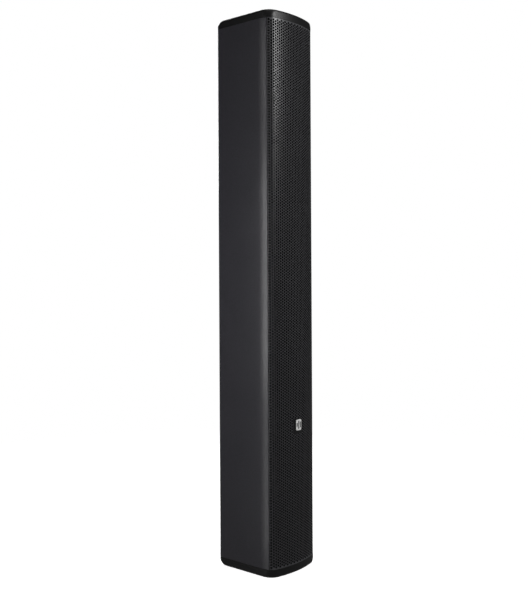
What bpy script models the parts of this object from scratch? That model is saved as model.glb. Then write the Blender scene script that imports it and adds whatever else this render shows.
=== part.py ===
"""Column loudspeaker: a tall aluminium extrusion with moulded end caps and a bowed perforated grille.

Behind the grille six 4-inch woofers, a high-frequency horn and two reflex ports sit on one baffle.
A recessed dish in the lower rear wall holds two speaker sockets and the power tap knob.
Frame: metres, +Z up, the front faces -Y, and the origin is the centre of the underside.
"""

import math

import bmesh
import bpy

# ---- Driving dimensions ----
HEIGHT = 1.100
WIDTH = 0.142
DEPTH = 0.150
FRONT_BOW = 0.013
FRONT_CORNER_RADIUS = 0.020
REAR_CORNER_RADIUS = 0.009
CAP_HEIGHT = 0.0165
GAP = 0.0003

# ---- Extrusion ----
HALF_WIDTH = WIDTH / 2
REAR_Y = DEPTH / 2
FRONT_Y = -DEPTH / 2
WALL = 0.003
SIDE_WRAP_DEG = 28
LIP_Y = -0.047
LIP_DEPTH = 0.010
SCREW_BLOCK_WIDTH = 0.0125
SCREW_BLOCK_DEPTH = 0.016
SCREW_X = HALF_WIDTH - 0.011
SCREW_YS = (-0.042, REAR_Y - 0.015)
SCREW_PORT_RADIUS = 0.0020
BODY_BOTTOM = CAP_HEIGHT + GAP
BODY_TOP = HEIGHT - BODY_BOTTOM
INNER_X = HALF_WIDTH - WALL
INNER_REAR_Y = REAR_Y - WALL
BOW_RADIUS = (HALF_WIDTH**2 + FRONT_BOW**2) / (2 * FRONT_BOW)
BOW_CENTRE_Y = FRONT_Y + BOW_RADIUS

# ---- Caps ----
CAP_PLATE = 0.0050
CAP_ROUNDING = (
    (0.0, 0.0045, 1.0),
    (0.0006, 0.0022, 1.0),
    (0.0022, 0.0006, 0.9),
    (0.0045, 0.0, 0.7),
    (0.0080, 0.0, 0.25),
    (0.0110, 0.0, 0.0),
)
CAP_EXTRA_RADIUS = (0.006, 0.011)
POCKET = (0.0480, -0.0360, 0.0550)
SPIGOT_WALL = 0.0030
SPIGOT_HEIGHT = 0.0040
CAP_SCREW_HEAD = (0.0037, 0.0024)
CAP_SCREW_SHANK = (0.0016, 0.0220)
CAP_SCREW_RECESS = (0.0042, 0.0032)

# ---- Front: grille, foam, baffle ----
GRILLE_INSET = 0.0015
GRILLE_SHEET = 0.0012
GRILLE_LEG_X = INNER_X - 0.0034
GRILLE_START_DEG = (214, 222)
FOAM_THICKNESS = 0.0040
BAFFLE_THICKNESS = 0.005
BAFFLE_HALF_WIDTH = GRILLE_LEG_X - GRILLE_SHEET - 0.0005
BAFFLE_FRONT_Y = LIP_Y - GAP - BAFFLE_THICKNESS
BADGE_SIZE = (0.027, 0.031)
BADGE_Z = 0.287

# ---- Drivers on the baffle ----
MIDDLE_Z = HEIGHT / 2
FIRST_WOOFER = 0.128
WOOFER_PITCH = 0.114
WOOFER_ZS = [MIDDLE_Z + side * (FIRST_WOOFER + WOOFER_PITCH * n) for side in (-1, 1) for n in range(3)]
WOOFER_ZS.sort()
WOOFER_CUTOUT = 0.047
WOOFER_FLANGE = (0.104, 0.104)
WOOFER_FLANGE_CORNER = 0.016
FLANGE_THICKNESS = 0.0035
HORN_FLANGE = (0.118, 0.138)
HORN_MOUTH = (0.098, 0.116)
HORN_CUTOUT = (0.106, 0.124)
HORN_THROAT_RADIUS = 0.0127
HORN_DEPTH = 0.046
HORN_WALL = 0.0025
PORT_OFFSET = 0.456
PORT_CUTOUT = 0.0318
ROUND_STEPS = 16
WOOFER_STEPS = 12

# ---- Rear dish, sockets and tap knob ----
DISH_Z = 0.165
DISH_CUTOUT = (0.092, 0.132)
DISH_OPENING = (0.086, 0.126)
DISH_FLANGE = (0.107, 0.148)
DISH_DEPTH = 0.026
DISH_WALL = 0.0024
DISH_FLOOR_Y = REAR_Y - DISH_DEPTH
SOCKET_X = 0.020
SOCKET_Z = DISH_Z + 0.028
SOCKET_FLANGE = (0.026, 0.031)
SOCKET_BODY_RADIUS = 0.0119
SOCKET_HOLE_RADIUS = 0.0123
KNOB_Z = DISH_Z - 0.028
KNOB_RADIUS = 0.0110
KNOB_HEIGHT = 0.0120
SPINDLE_RADIUS = 0.0030
SPINDLE_HOLE_RADIUS = 0.0034
INSERT_ZS = (0.300, 0.800)
INSERT_BORE_RADIUS = 0.0034
INSERT_BODY_RADIUS = 0.0055
INSERT_FLANGE_RADIUS = 0.0080

FACING_FRONT = (math.pi / 2, 0, 0)
FACING_REAR = (math.pi / 2, 0, math.pi)


# ---- Scene, materials and objects ----


def clear_scene():
    for old in list(bpy.data.objects):
        bpy.data.objects.remove(old)


def material(name, colour, roughness, metallic=0.0):
    made = bpy.data.materials.new(name)
    made.use_nodes = True
    shader = made.node_tree.nodes["Principled BSDF"]
    shader.inputs["Base Color"].default_value = (*colour, 1.0)
    shader.inputs["Roughness"].default_value = roughness
    shader.inputs["Metallic"].default_value = metallic
    return made


def new_object(name, shape, finish=None, location=(0, 0, 0), rotation=(0, 0, 0)):
    """Makes an object from a bmesh, with its faces turned outwards."""
    bmesh.ops.recalc_face_normals(shape, faces=shape.faces)
    mesh = bpy.data.meshes.new(name)
    shape.to_mesh(mesh)
    shape.free()
    made = bpy.data.objects.new(name, mesh)
    bpy.context.scene.collection.objects.link(made)
    made.location = location
    made.rotation_euler = rotation
    if finish is not None:
        mesh.materials.append(finish)
    return made


def cutter(name, shape, location=(0, 0, 0), rotation=(0, 0, 0)):
    """A helper that only cuts or joins: it is hidden in renders and drawn as a wire."""
    made = new_object(name, shape, None, location, rotation)
    made.hide_render = True
    made.display_type = "WIRE"
    return made


def combine(target, other, operation="DIFFERENCE"):
    step = target.modifiers.new(other.name, "BOOLEAN")
    step.operation = operation
    step.object = other
    step.solver = "EXACT"


def shade_round(target, angle_deg=35):
    target.data.shade_smooth()
    target.data.set_sharp_from_angle(angle=math.radians(angle_deg))


# ---- Outlines: lists of (x, y) points ----


def arc(cx, cy, radius, start_deg, end_deg, steps):
    angles = [math.radians(start_deg + (end_deg - start_deg) * n / steps) for n in range(steps + 1)]
    return [(cx + radius * math.cos(a), cy + radius * math.sin(a)) for a in angles]


def mirrored(points):
    return [(-x, y) for x, y in reversed(points)]


def rounded_rectangle(width, height, radius, centre=(0.0, 0.0), steps=4):
    hx, hy = width / 2 - radius, height / 2 - radius
    corners = ((hx, hy, 0), (-hx, hy, 90), (-hx, -hy, 180), (hx, -hy, 270))
    return [
        point
        for x, y, start in corners
        for point in arc(centre[0] + x, centre[1] + y, radius, start, start + 90, steps)
    ]


def circle(radius, steps, centre=(0.0, 0.0)):
    return arc(*centre, radius, 0, 360 * (steps - 1) / steps, steps - 1)


def front_corner(radius):
    """Where the left front corner's arc has its centre, and the angle at which it meets the bow."""
    corner_x = -HALF_WIDTH + radius
    corner_y = BOW_CENTRE_Y - math.sqrt((BOW_RADIUS - radius) ** 2 - corner_x**2)
    return corner_x, corner_y, 360 + math.degrees(math.atan2(corner_y - BOW_CENTRE_Y, corner_x))


def front_curve(inset, start_deg=180.0, radius=FRONT_CORNER_RADIUS, corner_steps=6, bow_steps=7):
    """The bowed front from the left side's tangent, or from start_deg on the corner, round to the right."""
    corner_x, corner_y, meet_deg = front_corner(radius)
    corner = arc(corner_x, corner_y, radius - inset, start_deg, meet_deg, corner_steps)
    half_bow = arc(0, BOW_CENTRE_Y, BOW_RADIUS - inset, meet_deg, 270, bow_steps)
    left = corner + half_bow[1:]
    return left + mirrored(left)[1:]


def column_outline(inset, fuller=0.0):
    """The column's plan outline, moved inwards by inset, with its corners fuller by a share of the caps'."""
    front = FRONT_CORNER_RADIUS + fuller * CAP_EXTRA_RADIUS[0]
    rear = REAR_CORNER_RADIUS + fuller * CAP_EXTRA_RADIUS[1]
    rear_left = arc(-HALF_WIDTH + rear, REAR_Y - rear, rear - inset, 90, 180, 5)
    return rear_left + front_curve(inset, radius=front) + mirrored(rear_left)


def side_wrap(inset):
    """The stretch of the left front corner that the side wall follows, from the front back to the side."""
    corner_x, corner_y, _ = front_corner(FRONT_CORNER_RADIUS)
    return arc(corner_x, corner_y, FRONT_CORNER_RADIUS - inset, 180 + SIDE_WRAP_DEG, 180, 4)


def extrusion_outline():
    """A U open to the front, with lips for the baffle and thick corners for the cap screws."""
    block_x = INNER_X - SCREW_BLOCK_WIDTH
    outer = side_wrap(0.0)
    outer += mirrored(arc(HALF_WIDTH - REAR_CORNER_RADIUS, REAR_Y - REAR_CORNER_RADIUS,
                          REAR_CORNER_RADIUS, 0, 90, 6))[::-1]
    inner = [
        (-block_x, INNER_REAR_Y),
        (-block_x, INNER_REAR_Y - SCREW_BLOCK_DEPTH),
        (-INNER_X, INNER_REAR_Y - SCREW_BLOCK_DEPTH),
        (-INNER_X, LIP_Y + LIP_DEPTH),
        (-block_x, LIP_Y + LIP_DEPTH),
        (-block_x, LIP_Y),
        (-INNER_X, LIP_Y),
        *side_wrap(WALL)[::-1],
    ]
    return outer + mirrored(outer) + mirrored(inner) + inner


# ---- Solids from outlines and profiles ----


def stack(*levels):
    """A closed solid through outlines with equal numbers of points, each given as (height, outline)."""
    shape = bmesh.new()
    rings = [[shape.verts.new((x, y, z)) for x, y in outline] for z, outline in levels]
    for low, high in zip(rings, rings[1:]):
        for n, corner in enumerate(low):
            after = (n + 1) % len(low)
            shape.faces.new((corner, low[after], high[after], high[n]))
    shape.faces.new(reversed(rings[0]))
    shape.faces.new(rings[-1])
    return shape


def prism(outline, low, high):
    return stack((low, outline), (high, outline))


def turned(profile, steps=ROUND_STEPS):
    """A closed profile of (radius, height) points, turned a full circle about Z."""
    shape = bmesh.new()
    points = [shape.verts.new((radius, 0, height)) for radius, height in profile]
    edges = [shape.edges.new(pair) for pair in zip(points, points[1:] + points[:1])]
    on_axis = [edge for edge in edges if all(abs(v.co.x) < 1e-9 for v in edge.verts)]
    kept = [edge for edge in edges if edge not in on_axis]
    bmesh.ops.delete(shape, geom=on_axis, context="EDGES_FACES")
    bmesh.ops.spin(
        shape,
        geom=[v for v in shape.verts] + [e for e in kept if e.is_valid],
        cent=(0, 0, 0),
        axis=(0, 0, 1),
        angle=2 * math.pi,
        steps=steps,
        use_merge=True,
    )
    bmesh.ops.remove_doubles(shape, verts=shape.verts, dist=1e-6)
    return shape


def closed_wall(outside, inside):
    """Joins two lists of rings, outside then inside, into one closed shell with an opening at each end."""
    shape = bmesh.new()
    rings = [[shape.verts.new(point) for point in ring] for ring in outside + inside[::-1]]
    for low, high in zip(rings, rings[1:] + rings[:1]):
        for n, corner in enumerate(low):
            after = (n + 1) % len(low)
            shape.faces.new((corner, low[after], high[after], high[n]))
    return shape


# ---- Cabinet ----


def make_extrusion(finish):
    body = new_object("cabinet_extrusion", prism(extrusion_outline(), BODY_BOTTOM, BODY_TOP), finish)
    beyond = 0.01
    for side in (-1, 1):
        for y in SCREW_YS:
            port = prism(circle(SCREW_PORT_RADIUS, 10), BODY_BOTTOM - beyond, BODY_TOP + beyond)
            combine(body, cutter("port_cutter", port, (side * SCREW_X, y, 0)))
    opening = prism(rounded_rectangle(*DISH_CUTOUT, 0.004), -beyond, beyond)
    combine(body, cutter("dish_cutout_cutter", opening, (0, REAR_Y, DISH_Z), FACING_REAR))
    for z in INSERT_ZS:
        seat = (0, REAR_Y, z)
        counterbore = prism(circle(INSERT_FLANGE_RADIUS + 0.0004, ROUND_STEPS), -0.0015, beyond)
        combine(body, cutter("insert_seat_cutter", counterbore, seat, FACING_REAR))
        hole = prism(circle(INSERT_BODY_RADIUS + 0.0004, ROUND_STEPS), -beyond, beyond)
        combine(body, cutter("insert_hole_cutter", hole, seat, FACING_REAR))
    shade_round(body, 20)


def make_cap(name, finish, upside_down):
    """The bottom cap as it stands, or the top cap, which is the same moulding mirrored in height."""

    def at(height):
        return HEIGHT - height if upside_down else height

    levels = [(at(z), column_outline(inset, fuller)) for z, inset, fuller in CAP_ROUNDING]
    cap = new_object(name, stack(*levels, (at(CAP_HEIGHT), column_outline(0.0))), finish)
    half, front, rear = POCKET
    middle = (0, (front + rear) / 2)
    wide, deep = 2 * half, rear - front
    top = CAP_HEIGHT + SPIGOT_HEIGHT
    overlap = 0.002
    spigot = rounded_rectangle(wide + 2 * SPIGOT_WALL, deep + 2 * SPIGOT_WALL, 0.008, middle)
    combine(cap, cutter(name + "_spigot", prism(spigot, at(CAP_HEIGHT - overlap), at(top))), "UNION")
    pocket = prism(rounded_rectangle(wide, deep, 0.006, middle), at(CAP_PLATE), at(top + overlap))
    combine(cap, cutter(name + "_pocket", pocket))
    for side in (-1, 1):
        for y in SCREW_YS:
            where = (side * SCREW_X, y, 0)
            recess = prism(circle(CAP_SCREW_RECESS[0], 12), at(-overlap), at(CAP_SCREW_RECESS[1]))
            combine(cap, cutter(name + "_recess", recess, where))
            hole = prism(circle(SCREW_PORT_RADIUS + 0.0002, 10), at(0.0), at(CAP_HEIGHT + overlap))
            combine(cap, cutter(name + "_hole", hole, where))
    shade_round(cap, 30)


def make_gasket(name, finish, upside_down):
    """A foam ring round the cap's spigot, pressed on the cap's rim."""
    half, front, rear = POCKET
    middle = (0, (front + rear) / 2)
    wide = 2 * (half + SPIGOT_WALL + GAP)
    deep = rear - front + 2 * (SPIGOT_WALL + GAP)
    low, high = CAP_HEIGHT + GAP, CAP_HEIGHT + GAP + 0.0020
    if upside_down:
        low, high = HEIGHT - high, HEIGHT - low
    ring_width = 0.0020
    outer = rounded_rectangle(wide + 2 * ring_width, deep + 2 * ring_width, 0.0103, middle, 3)
    inner = rounded_rectangle(wide, deep, 0.0083, middle, 3)
    rings = [[(x, y, z) for x, y in ring] for ring, z in
             ((outer, low), (outer, high), (inner, high), (inner, low))]
    new_object(name, closed_wall(rings[:2], rings[:1:-1]), finish)


def make_cap_screws(finish):
    """Pan-head screws that run through the caps into the extrusion's ports."""
    head_radius, head_height = CAP_SCREW_HEAD
    shank_radius, shank_length = CAP_SCREW_SHANK
    head_top = CAP_SCREW_RECESS[1] - GAP
    profile = [
        (0, head_top - head_height),
        (head_radius - 0.0008, head_top - head_height),
        (head_radius, head_top - head_height + 0.0008),
        (head_radius, head_top),
        (shank_radius, head_top),
        (shank_radius, head_top + shank_length - 0.0015),
        (0, head_top + shank_length),
    ]
    for end, floor, turn in (("top", HEIGHT, math.pi), ("bottom", 0.0, 0.0)):
        places = [(side * SCREW_X, y) for y in SCREW_YS for side in (-1, 1)]
        for number, (x, y) in enumerate(places, 1):
            screw = new_object(f"{end}_cap_screw_{number}", turned(profile, 10), finish,
                               (x, y, floor), (turn, 0, 0))
            shade_round(screw)


# ---- Front ----


def make_baffle(finish):
    outline = rounded_rectangle(2 * BAFFLE_HALF_WIDTH, BODY_TOP - BODY_BOTTOM, 0.001, steps=1)
    plate = prism(outline, -BAFFLE_THICKNESS, 0)
    baffle = new_object("front_baffle", plate, finish, (0, BAFFLE_FRONT_Y, MIDDLE_Z), FACING_FRONT)
    holes = [(circle(WOOFER_CUTOUT, ROUND_STEPS), z) for z in WOOFER_ZS]
    holes += [(circle(PORT_CUTOUT, ROUND_STEPS), MIDDLE_Z + side * PORT_OFFSET) for side in (-1, 1)]
    holes.append((rounded_rectangle(*HORN_CUTOUT, 0.008), MIDDLE_Z))
    beyond = 0.01
    for outline, z in holes:
        hole = prism(outline, -beyond, beyond)
        combine(baffle, cutter("baffle_cutter", hole, (0, BAFFLE_FRONT_Y, z), FACING_FRONT))


def grille_outline():
    """The sheet's section: a leg in the slot beside the baffle, a joggle, then the bowed face."""
    slot_end = LIP_Y - 0.0005
    outside = front_curve(GRILLE_INSET, GRILLE_START_DEG[0])
    inside = front_curve(GRILLE_INSET + GRILLE_SHEET, GRILLE_START_DEG[1])
    joggle = outside[0][1] + 0.0002
    leg_out, leg_in = -GRILLE_LEG_X, -GRILLE_LEG_X + GRILLE_SHEET
    left_out = [(leg_out, slot_end), (leg_out, joggle)]
    left_in = [(leg_in, slot_end), (leg_in, joggle - 0.0010)]
    return (left_out + outside + mirrored(left_out)
            + [(-x, y) for x, y in left_in] + inside[::-1] + left_in[::-1])


def make_grille(finish):
    grille = new_object("grille", prism(grille_outline(), BODY_BOTTOM, BODY_TOP), finish)
    shade_round(grille, 25)


def make_grille_foam(finish):
    """Open-cell foam that lines the bowed part of the grille."""
    behind = GRILLE_INSET + GRILLE_SHEET + GAP
    skip = 7
    face = front_curve(behind)[skip:-skip]
    back = front_curve(behind + FOAM_THICKNESS)[skip:-skip]
    new_object("grille_foam", prism(face + back[::-1], BODY_BOTTOM, BODY_TOP), finish)


def make_badge(finish):
    back = GRILLE_INSET - GAP
    plate = stack(
        (0.0, rounded_rectangle(*BADGE_SIZE, 0.0040)),
        (back - 0.0004, rounded_rectangle(*BADGE_SIZE, 0.0040)),
        (back, rounded_rectangle(BADGE_SIZE[0] - 0.0008, BADGE_SIZE[1] - 0.0008, 0.0036)),
    )
    badge = new_object("badge", plate, finish, (0, FRONT_Y + back, BADGE_Z), FACING_FRONT)
    shade_round(badge)


# ---- Woofers: local z is 0 on the baffle's face and grows towards the front ----


def frame_shape():
    """The basket's bowl, without its square flange."""
    return turned([
        (0.0460, 0.0030),
        (0.0460, -0.0040),
        (0.0316, -0.0285),
        (0.0316, -0.0305),
        (0.0200, -0.0305),
        (0.0200, -0.0287),
        (0.0298, -0.0287),
        (0.0442, -0.0040),
        (0.0442, 0.0030),
    ], WOOFER_STEPS)


def cross_outline(reach, half_width):
    """A plus sign, which opens four windows in the basket."""
    return [
        (half_width, -reach), (half_width, -half_width), (reach, -half_width),
        (reach, half_width), (half_width, half_width), (half_width, reach),
        (-half_width, reach), (-half_width, half_width), (-reach, half_width),
        (-reach, -half_width), (-half_width, -half_width), (-half_width, -reach),
    ]


def make_frame(name, finish, place):
    outline = rounded_rectangle(*WOOFER_FLANGE, WOOFER_FLANGE_CORNER)
    flange = prism(outline, GAP, GAP + FLANGE_THICKNESS)
    frame = new_object(name, flange, finish, place, FACING_FRONT)
    opening = prism(circle(0.0450, WOOFER_STEPS), -0.01, 0.01)
    combine(frame, cutter(name + "_opening", opening, place, FACING_FRONT))
    combine(frame, cutter(name + "_bowl", frame_shape(), place, FACING_FRONT), "UNION")
    windows = prism(cross_outline(0.060, 0.0170), -0.0250, -0.0080)
    combine(frame, cutter(name + "_windows", windows, place, FACING_FRONT))


def make_cone(name, finish, place):
    """Cone, dust cap and voice-coil former, which move as one piece."""
    cone = new_object(name, turned([
        (0.0375, 0.0022),
        (0.0250, -0.0070),
        (0.0130, -0.0155),
        (0.0090, -0.0125),
        (0.0, -0.0108),
        (0.0, -0.0116),
        (0.0086, -0.0133),
        (0.0122, -0.0166),
        (0.0122, -0.0390),
        (0.0130, -0.0390),
        (0.0130, -0.0175),
        (0.0250, -0.0088),
        (0.0375, 0.0009),
    ], WOOFER_STEPS), finish, place, FACING_FRONT)
    shade_round(cone)


def make_surround(name, finish, place):
    """The half roll, whose foot is glued to the flange, just outside the cone's edge."""
    surround = new_object(name, turned([
        (0.0379, 0.0016),
        (0.0379, 0.0042),
        (0.0402, 0.0069),
        (0.0434, 0.0069),
        (0.0452, 0.0049),
        (0.0490, 0.0049),
        (0.0490, 0.0041),
        (0.0447, 0.0041),
        (0.0430, 0.0060),
        (0.0406, 0.0060),
        (0.0388, 0.0038),
        (0.0388, 0.0016),
    ], WOOFER_STEPS), finish, place, FACING_FRONT)
    shade_round(surround, 50)


def make_magnet(name, finish, place):
    """Back plate, ferrite ring, top plate and pole, with the gap that the coil moves in."""
    magnet = new_object(name, turned([
        (0.0, -0.0295),
        (0.0112, -0.0295),
        (0.0112, -0.0498),
        (0.0200, -0.0498),
        (0.0200, -0.0358),
        (0.0146, -0.0358),
        (0.0146, -0.0308),
        (0.0360, -0.0308),
        (0.0360, -0.0358),
        (0.0385, -0.0358),
        (0.0385, -0.0498),
        (0.0360, -0.0498),
        (0.0360, -0.0548),
        (0.0, -0.0548),
    ], WOOFER_STEPS), finish, place, FACING_FRONT)
    shade_round(magnet)


def make_woofers(finishes):
    for number, z in enumerate(WOOFER_ZS, 1):
        place = (0, BAFFLE_FRONT_Y, z)
        make_frame(f"woofer_frame_{number}", finishes["driver_steel"], place)
        make_cone(f"woofer_cone_{number}", finishes["cone_paper"], place)
        make_surround(f"woofer_surround_{number}", finishes["soft_rubber"], place)
        make_magnet(f"woofer_magnet_{number}", finishes["magnet_ferrite"], place)


# ---- High-frequency unit and ports ----


def horn_rings(wall):
    """Rings that change from the rectangular mouth to the round throat, from front to back."""
    rings = []
    steps = 4
    for level in range(steps + 1):
        share = level / steps
        round_share = share**0.6
        depth = GAP + FLANGE_THICKNESS - (HORN_DEPTH + FLANGE_THICKNESS) * share
        width = HORN_MOUTH[0] * (1 - share) ** 1.2 + 2 * HORN_THROAT_RADIUS * (1 - (1 - share) ** 1.2)
        height = HORN_MOUTH[1] * (1 - share) ** 1.2 + 2 * HORN_THROAT_RADIUS * (1 - (1 - share) ** 1.2)
        corner = 0.006 + (min(width, height) / 2 - 0.006) * round_share
        outline = rounded_rectangle(width + 2 * wall, height + 2 * wall, corner + wall)
        rings.append([(x, y, depth) for x, y in outline])
    return rings


def make_horn(finish, place):
    flange = prism(rounded_rectangle(*HORN_FLANGE, 0.006), GAP, GAP + FLANGE_THICKNESS)
    horn = new_object("hf_horn", flange, finish, place, FACING_FRONT)
    mouth = prism(rounded_rectangle(HORN_MOUTH[0] + 0.002, HORN_MOUTH[1] + 0.002, 0.007), -0.01, 0.01)
    combine(horn, cutter("horn_mouth_cutter", mouth, place, FACING_FRONT))
    wall = closed_wall(horn_rings(HORN_WALL), horn_rings(0.0))
    combine(horn, cutter("horn_wall", wall, place, FACING_FRONT), "UNION")
    shade_round(horn, 40)


def make_hf_driver(finishes, place):
    """Compression driver: a magnet housing with a chamber that opens into the horn's throat."""
    front = -(HORN_DEPTH + GAP)
    housing = new_object("hf_driver", turned([
        (HORN_THROAT_RADIUS, front),
        (0.0380, front),
        (0.0400, front - 0.0020),
        (0.0400, front - 0.0310),
        (0.0380, front - 0.0330),
        (0.0, front - 0.0330),
        (0.0, front - 0.0170),
        (0.0240, front - 0.0170),
        (0.0240, front - 0.0090),
        (HORN_THROAT_RADIUS, front - 0.0090),
    ]), finishes["driver_steel"], place, FACING_FRONT)
    shade_round(housing)
    dome = new_object("hf_diaphragm", turned([
        (0.0, front - 0.0110),
        (0.0100, front - 0.0118),
        (0.0170, front - 0.0140),
        (0.0225, front - 0.0140),
        (0.0225, front - 0.0148),
        (0.0170, front - 0.0148),
        (0.0100, front - 0.0126),
        (0.0, front - 0.0118),
    ]), finishes["diaphragm_foil"], place, FACING_FRONT)
    shade_round(dome)


def make_port_tubes(finish):
    for name, side in (("port_tube_lower", -1), ("port_tube_upper", 1)):
        tube = new_object(name, turned([
            (0.0330, 0.0033),
            (0.0370, 0.0033),
            (0.0370, GAP),
            (0.0310, GAP),
            (0.0310, -0.0800),
            (0.0285, -0.0800),
            (0.0285, -0.0040),
            (0.0300, 0.0010),
        ]), finish, (0, BAFFLE_FRONT_Y, MIDDLE_Z + side * PORT_OFFSET), FACING_FRONT)
        shade_round(tube)


# ---- Inside, on the rear wall ----


def box(width, height, low, high, centre=(0.0, 0.0)):
    return prism(rounded_rectangle(width, height, 0.001, centre, 1), low, high)


def make_crossover(finishes):
    """Board, coils and capacitor on the rear wall behind the horn. Local z grows towards the rear."""
    wall_y = INNER_REAR_Y - GAP
    place = (0, wall_y, MIDDLE_Z)
    board_front = -0.0016
    new_object("crossover_board", box(0.096, 0.124, board_front, 0), finishes["board_laminate"],
               place, FACING_REAR)
    coil_back = board_front - GAP
    for number, (x, z) in enumerate(((-0.022, 0.034), (0.024, -0.036)), 1):
        coil = new_object(f"crossover_inductor_{number}", turned([
            (0.0080, coil_back),
            (0.0190, coil_back),
            (0.0190, coil_back - 0.0150),
            (0.0080, coil_back - 0.0150),
        ]), finishes["coil_copper"], (-x, wall_y, MIDDLE_Z + z), FACING_REAR)
        shade_round(coil)
    radius = 0.0080
    can = prism(circle(radius, 12), -0.0170, 0.0170)
    capacitor = new_object("crossover_capacitor", can, finishes["capacitor_film"],
                           (0.028, wall_y + coil_back - radius, MIDDLE_Z - 0.034))
    shade_round(capacitor)


def make_transformer(finish):
    """Line transformer: a laminated core with the winding standing through it."""
    place = (0, INNER_REAR_Y - GAP, 0.430)
    core = new_object("line_transformer", box(0.066, 0.055, -0.0290, -0.0070), finish, place, FACING_REAR)
    winding = box(0.040, 0.046, -0.0360, 0)
    combine(core, cutter("transformer_winding", winding, place, FACING_REAR), "UNION")


def make_damping_foam(finish):
    low, high = 0.640, 1.050
    thickness = 0.014
    place = (0, INNER_REAR_Y - GAP, (low + high) / 2)
    foam = new_object("damping_foam", box(0.104, high - low, -thickness, 0), finish, place, FACING_REAR)
    hole = prism(circle(0.0090, 12), -0.03, 0.01)
    combine(foam, cutter("foam_hole", hole, (0, place[1], INSERT_ZS[1]), FACING_REAR))


def smooth_route(points, per_span=5):
    """Points on a Catmull-Rom curve through the given ones."""
    ends = [points[0], *points, points[-1]]
    route = []
    for a, b, c, d in zip(ends, ends[1:], ends[2:], ends[3:]):
        for n in range(per_span):
            t = n / per_span
            route.append(tuple(
                0.5 * (2 * q + (r - p) * t + (2 * p - 5 * q + 4 * r - s) * t**2
                       + (3 * q - p - 3 * r + s) * t**3)
                for p, q, r, s in zip(a, b, c, d)
            ))
    return route + [points[-1]]


def make_wiring(finish):
    """The loom from the sockets up the left wall to the topmost woofer."""
    curve = bpy.data.curves.new("wiring_loom", "CURVE")
    curve.dimensions = "3D"
    curve.bevel_depth = 0.0025
    curve.bevel_resolution = 1
    curve.use_fill_caps = True
    route = smooth_route([
        (0.0200, 0.0180, 0.193),
        (0.0300, 0.0150, 0.215),
        (0.0460, 0.0200, 0.250),
        (0.0490, 0.0240, 0.400),
        (0.0490, 0.0240, 0.550),
        (0.0490, 0.0240, 0.700),
        (0.0480, 0.0240, 0.860),
        (0.0400, 0.0180, 0.900),
        (0.0260, 0.0080, 0.906),
    ], 4)
    spline = curve.splines.new("POLY")
    spline.points.add(len(route) - 1)
    for point, place in zip(spline.points, route):
        point.co = (*place, 1)
    curve.materials.append(finish)
    loom = bpy.data.objects.new("wiring_loom", curve)
    bpy.context.scene.collection.objects.link(loom)


# ---- Rear dish ----


def make_dish(finish):
    """A moulded pocket whose flange clamps inside the rear wall. Local z is 0 at the rear face."""
    place = (0, REAR_Y, DISH_Z)
    collar = (DISH_CUTOUT[0] - 0.0008, DISH_CUTOUT[1] - 0.0008)
    floor_back = -DISH_DEPTH - DISH_WALL
    pocket_outside = (DISH_OPENING[0] + 2 * DISH_WALL, DISH_OPENING[1] + 2 * DISH_WALL)
    body = stack(
        (floor_back, rounded_rectangle(*pocket_outside, 0.005)),
        (-0.010, rounded_rectangle(*pocket_outside, 0.005)),
        (-GAP, rounded_rectangle(*collar, 0.0036)),
    )
    dish = new_object("input_dish", body, finish, place, FACING_REAR)
    flange = prism(rounded_rectangle(*DISH_FLANGE, 0.004), -WALL - GAP - 0.0025, -WALL - GAP)
    combine(dish, cutter("dish_flange", flange, place, FACING_REAR), "UNION")
    pocket = prism(rounded_rectangle(*DISH_OPENING, 0.003), -DISH_DEPTH, 0.01)
    combine(dish, cutter("dish_pocket", pocket, place, FACING_REAR))
    for side in (-1, 1):
        hole = prism(circle(SOCKET_HOLE_RADIUS, ROUND_STEPS), -0.01, 0.01)
        where = (side * SOCKET_X, DISH_FLOOR_Y, SOCKET_Z)
        combine(dish, cutter("socket_hole", hole, where, FACING_REAR))
    spindle = prism(circle(SPINDLE_HOLE_RADIUS, 12), -0.01, 0.01)
    combine(dish, cutter("spindle_hole", spindle, (0, DISH_FLOOR_Y, KNOB_Z), FACING_REAR))


def make_sockets(finish):
    """Locking speaker sockets: a flange on the dish floor and a round well with a contact post."""
    face = GAP + 0.0025
    for number, side in enumerate((-1, 1), 1):
        place = (side * SOCKET_X, DISH_FLOOR_Y, SOCKET_Z)
        name = f"speaker_socket_{number}"
        flange = prism(rounded_rectangle(*SOCKET_FLANGE, 0.004), GAP, face)
        socket = new_object(name, flange, finish, place, FACING_REAR)
        body = prism(circle(SOCKET_BODY_RADIUS, ROUND_STEPS), -0.0220, GAP + 0.0010)
        combine(socket, cutter(name + "_body", body, place, FACING_REAR), "UNION")
        well = prism(circle(0.0103, ROUND_STEPS), -0.0150, 0.01)
        combine(socket, cutter(name + "_well", well, place, FACING_REAR))
        post = prism(circle(0.0048, ROUND_STEPS), -0.0170, -0.0040)
        combine(socket, cutter(name + "_post", post, place, FACING_REAR), "UNION")


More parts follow.
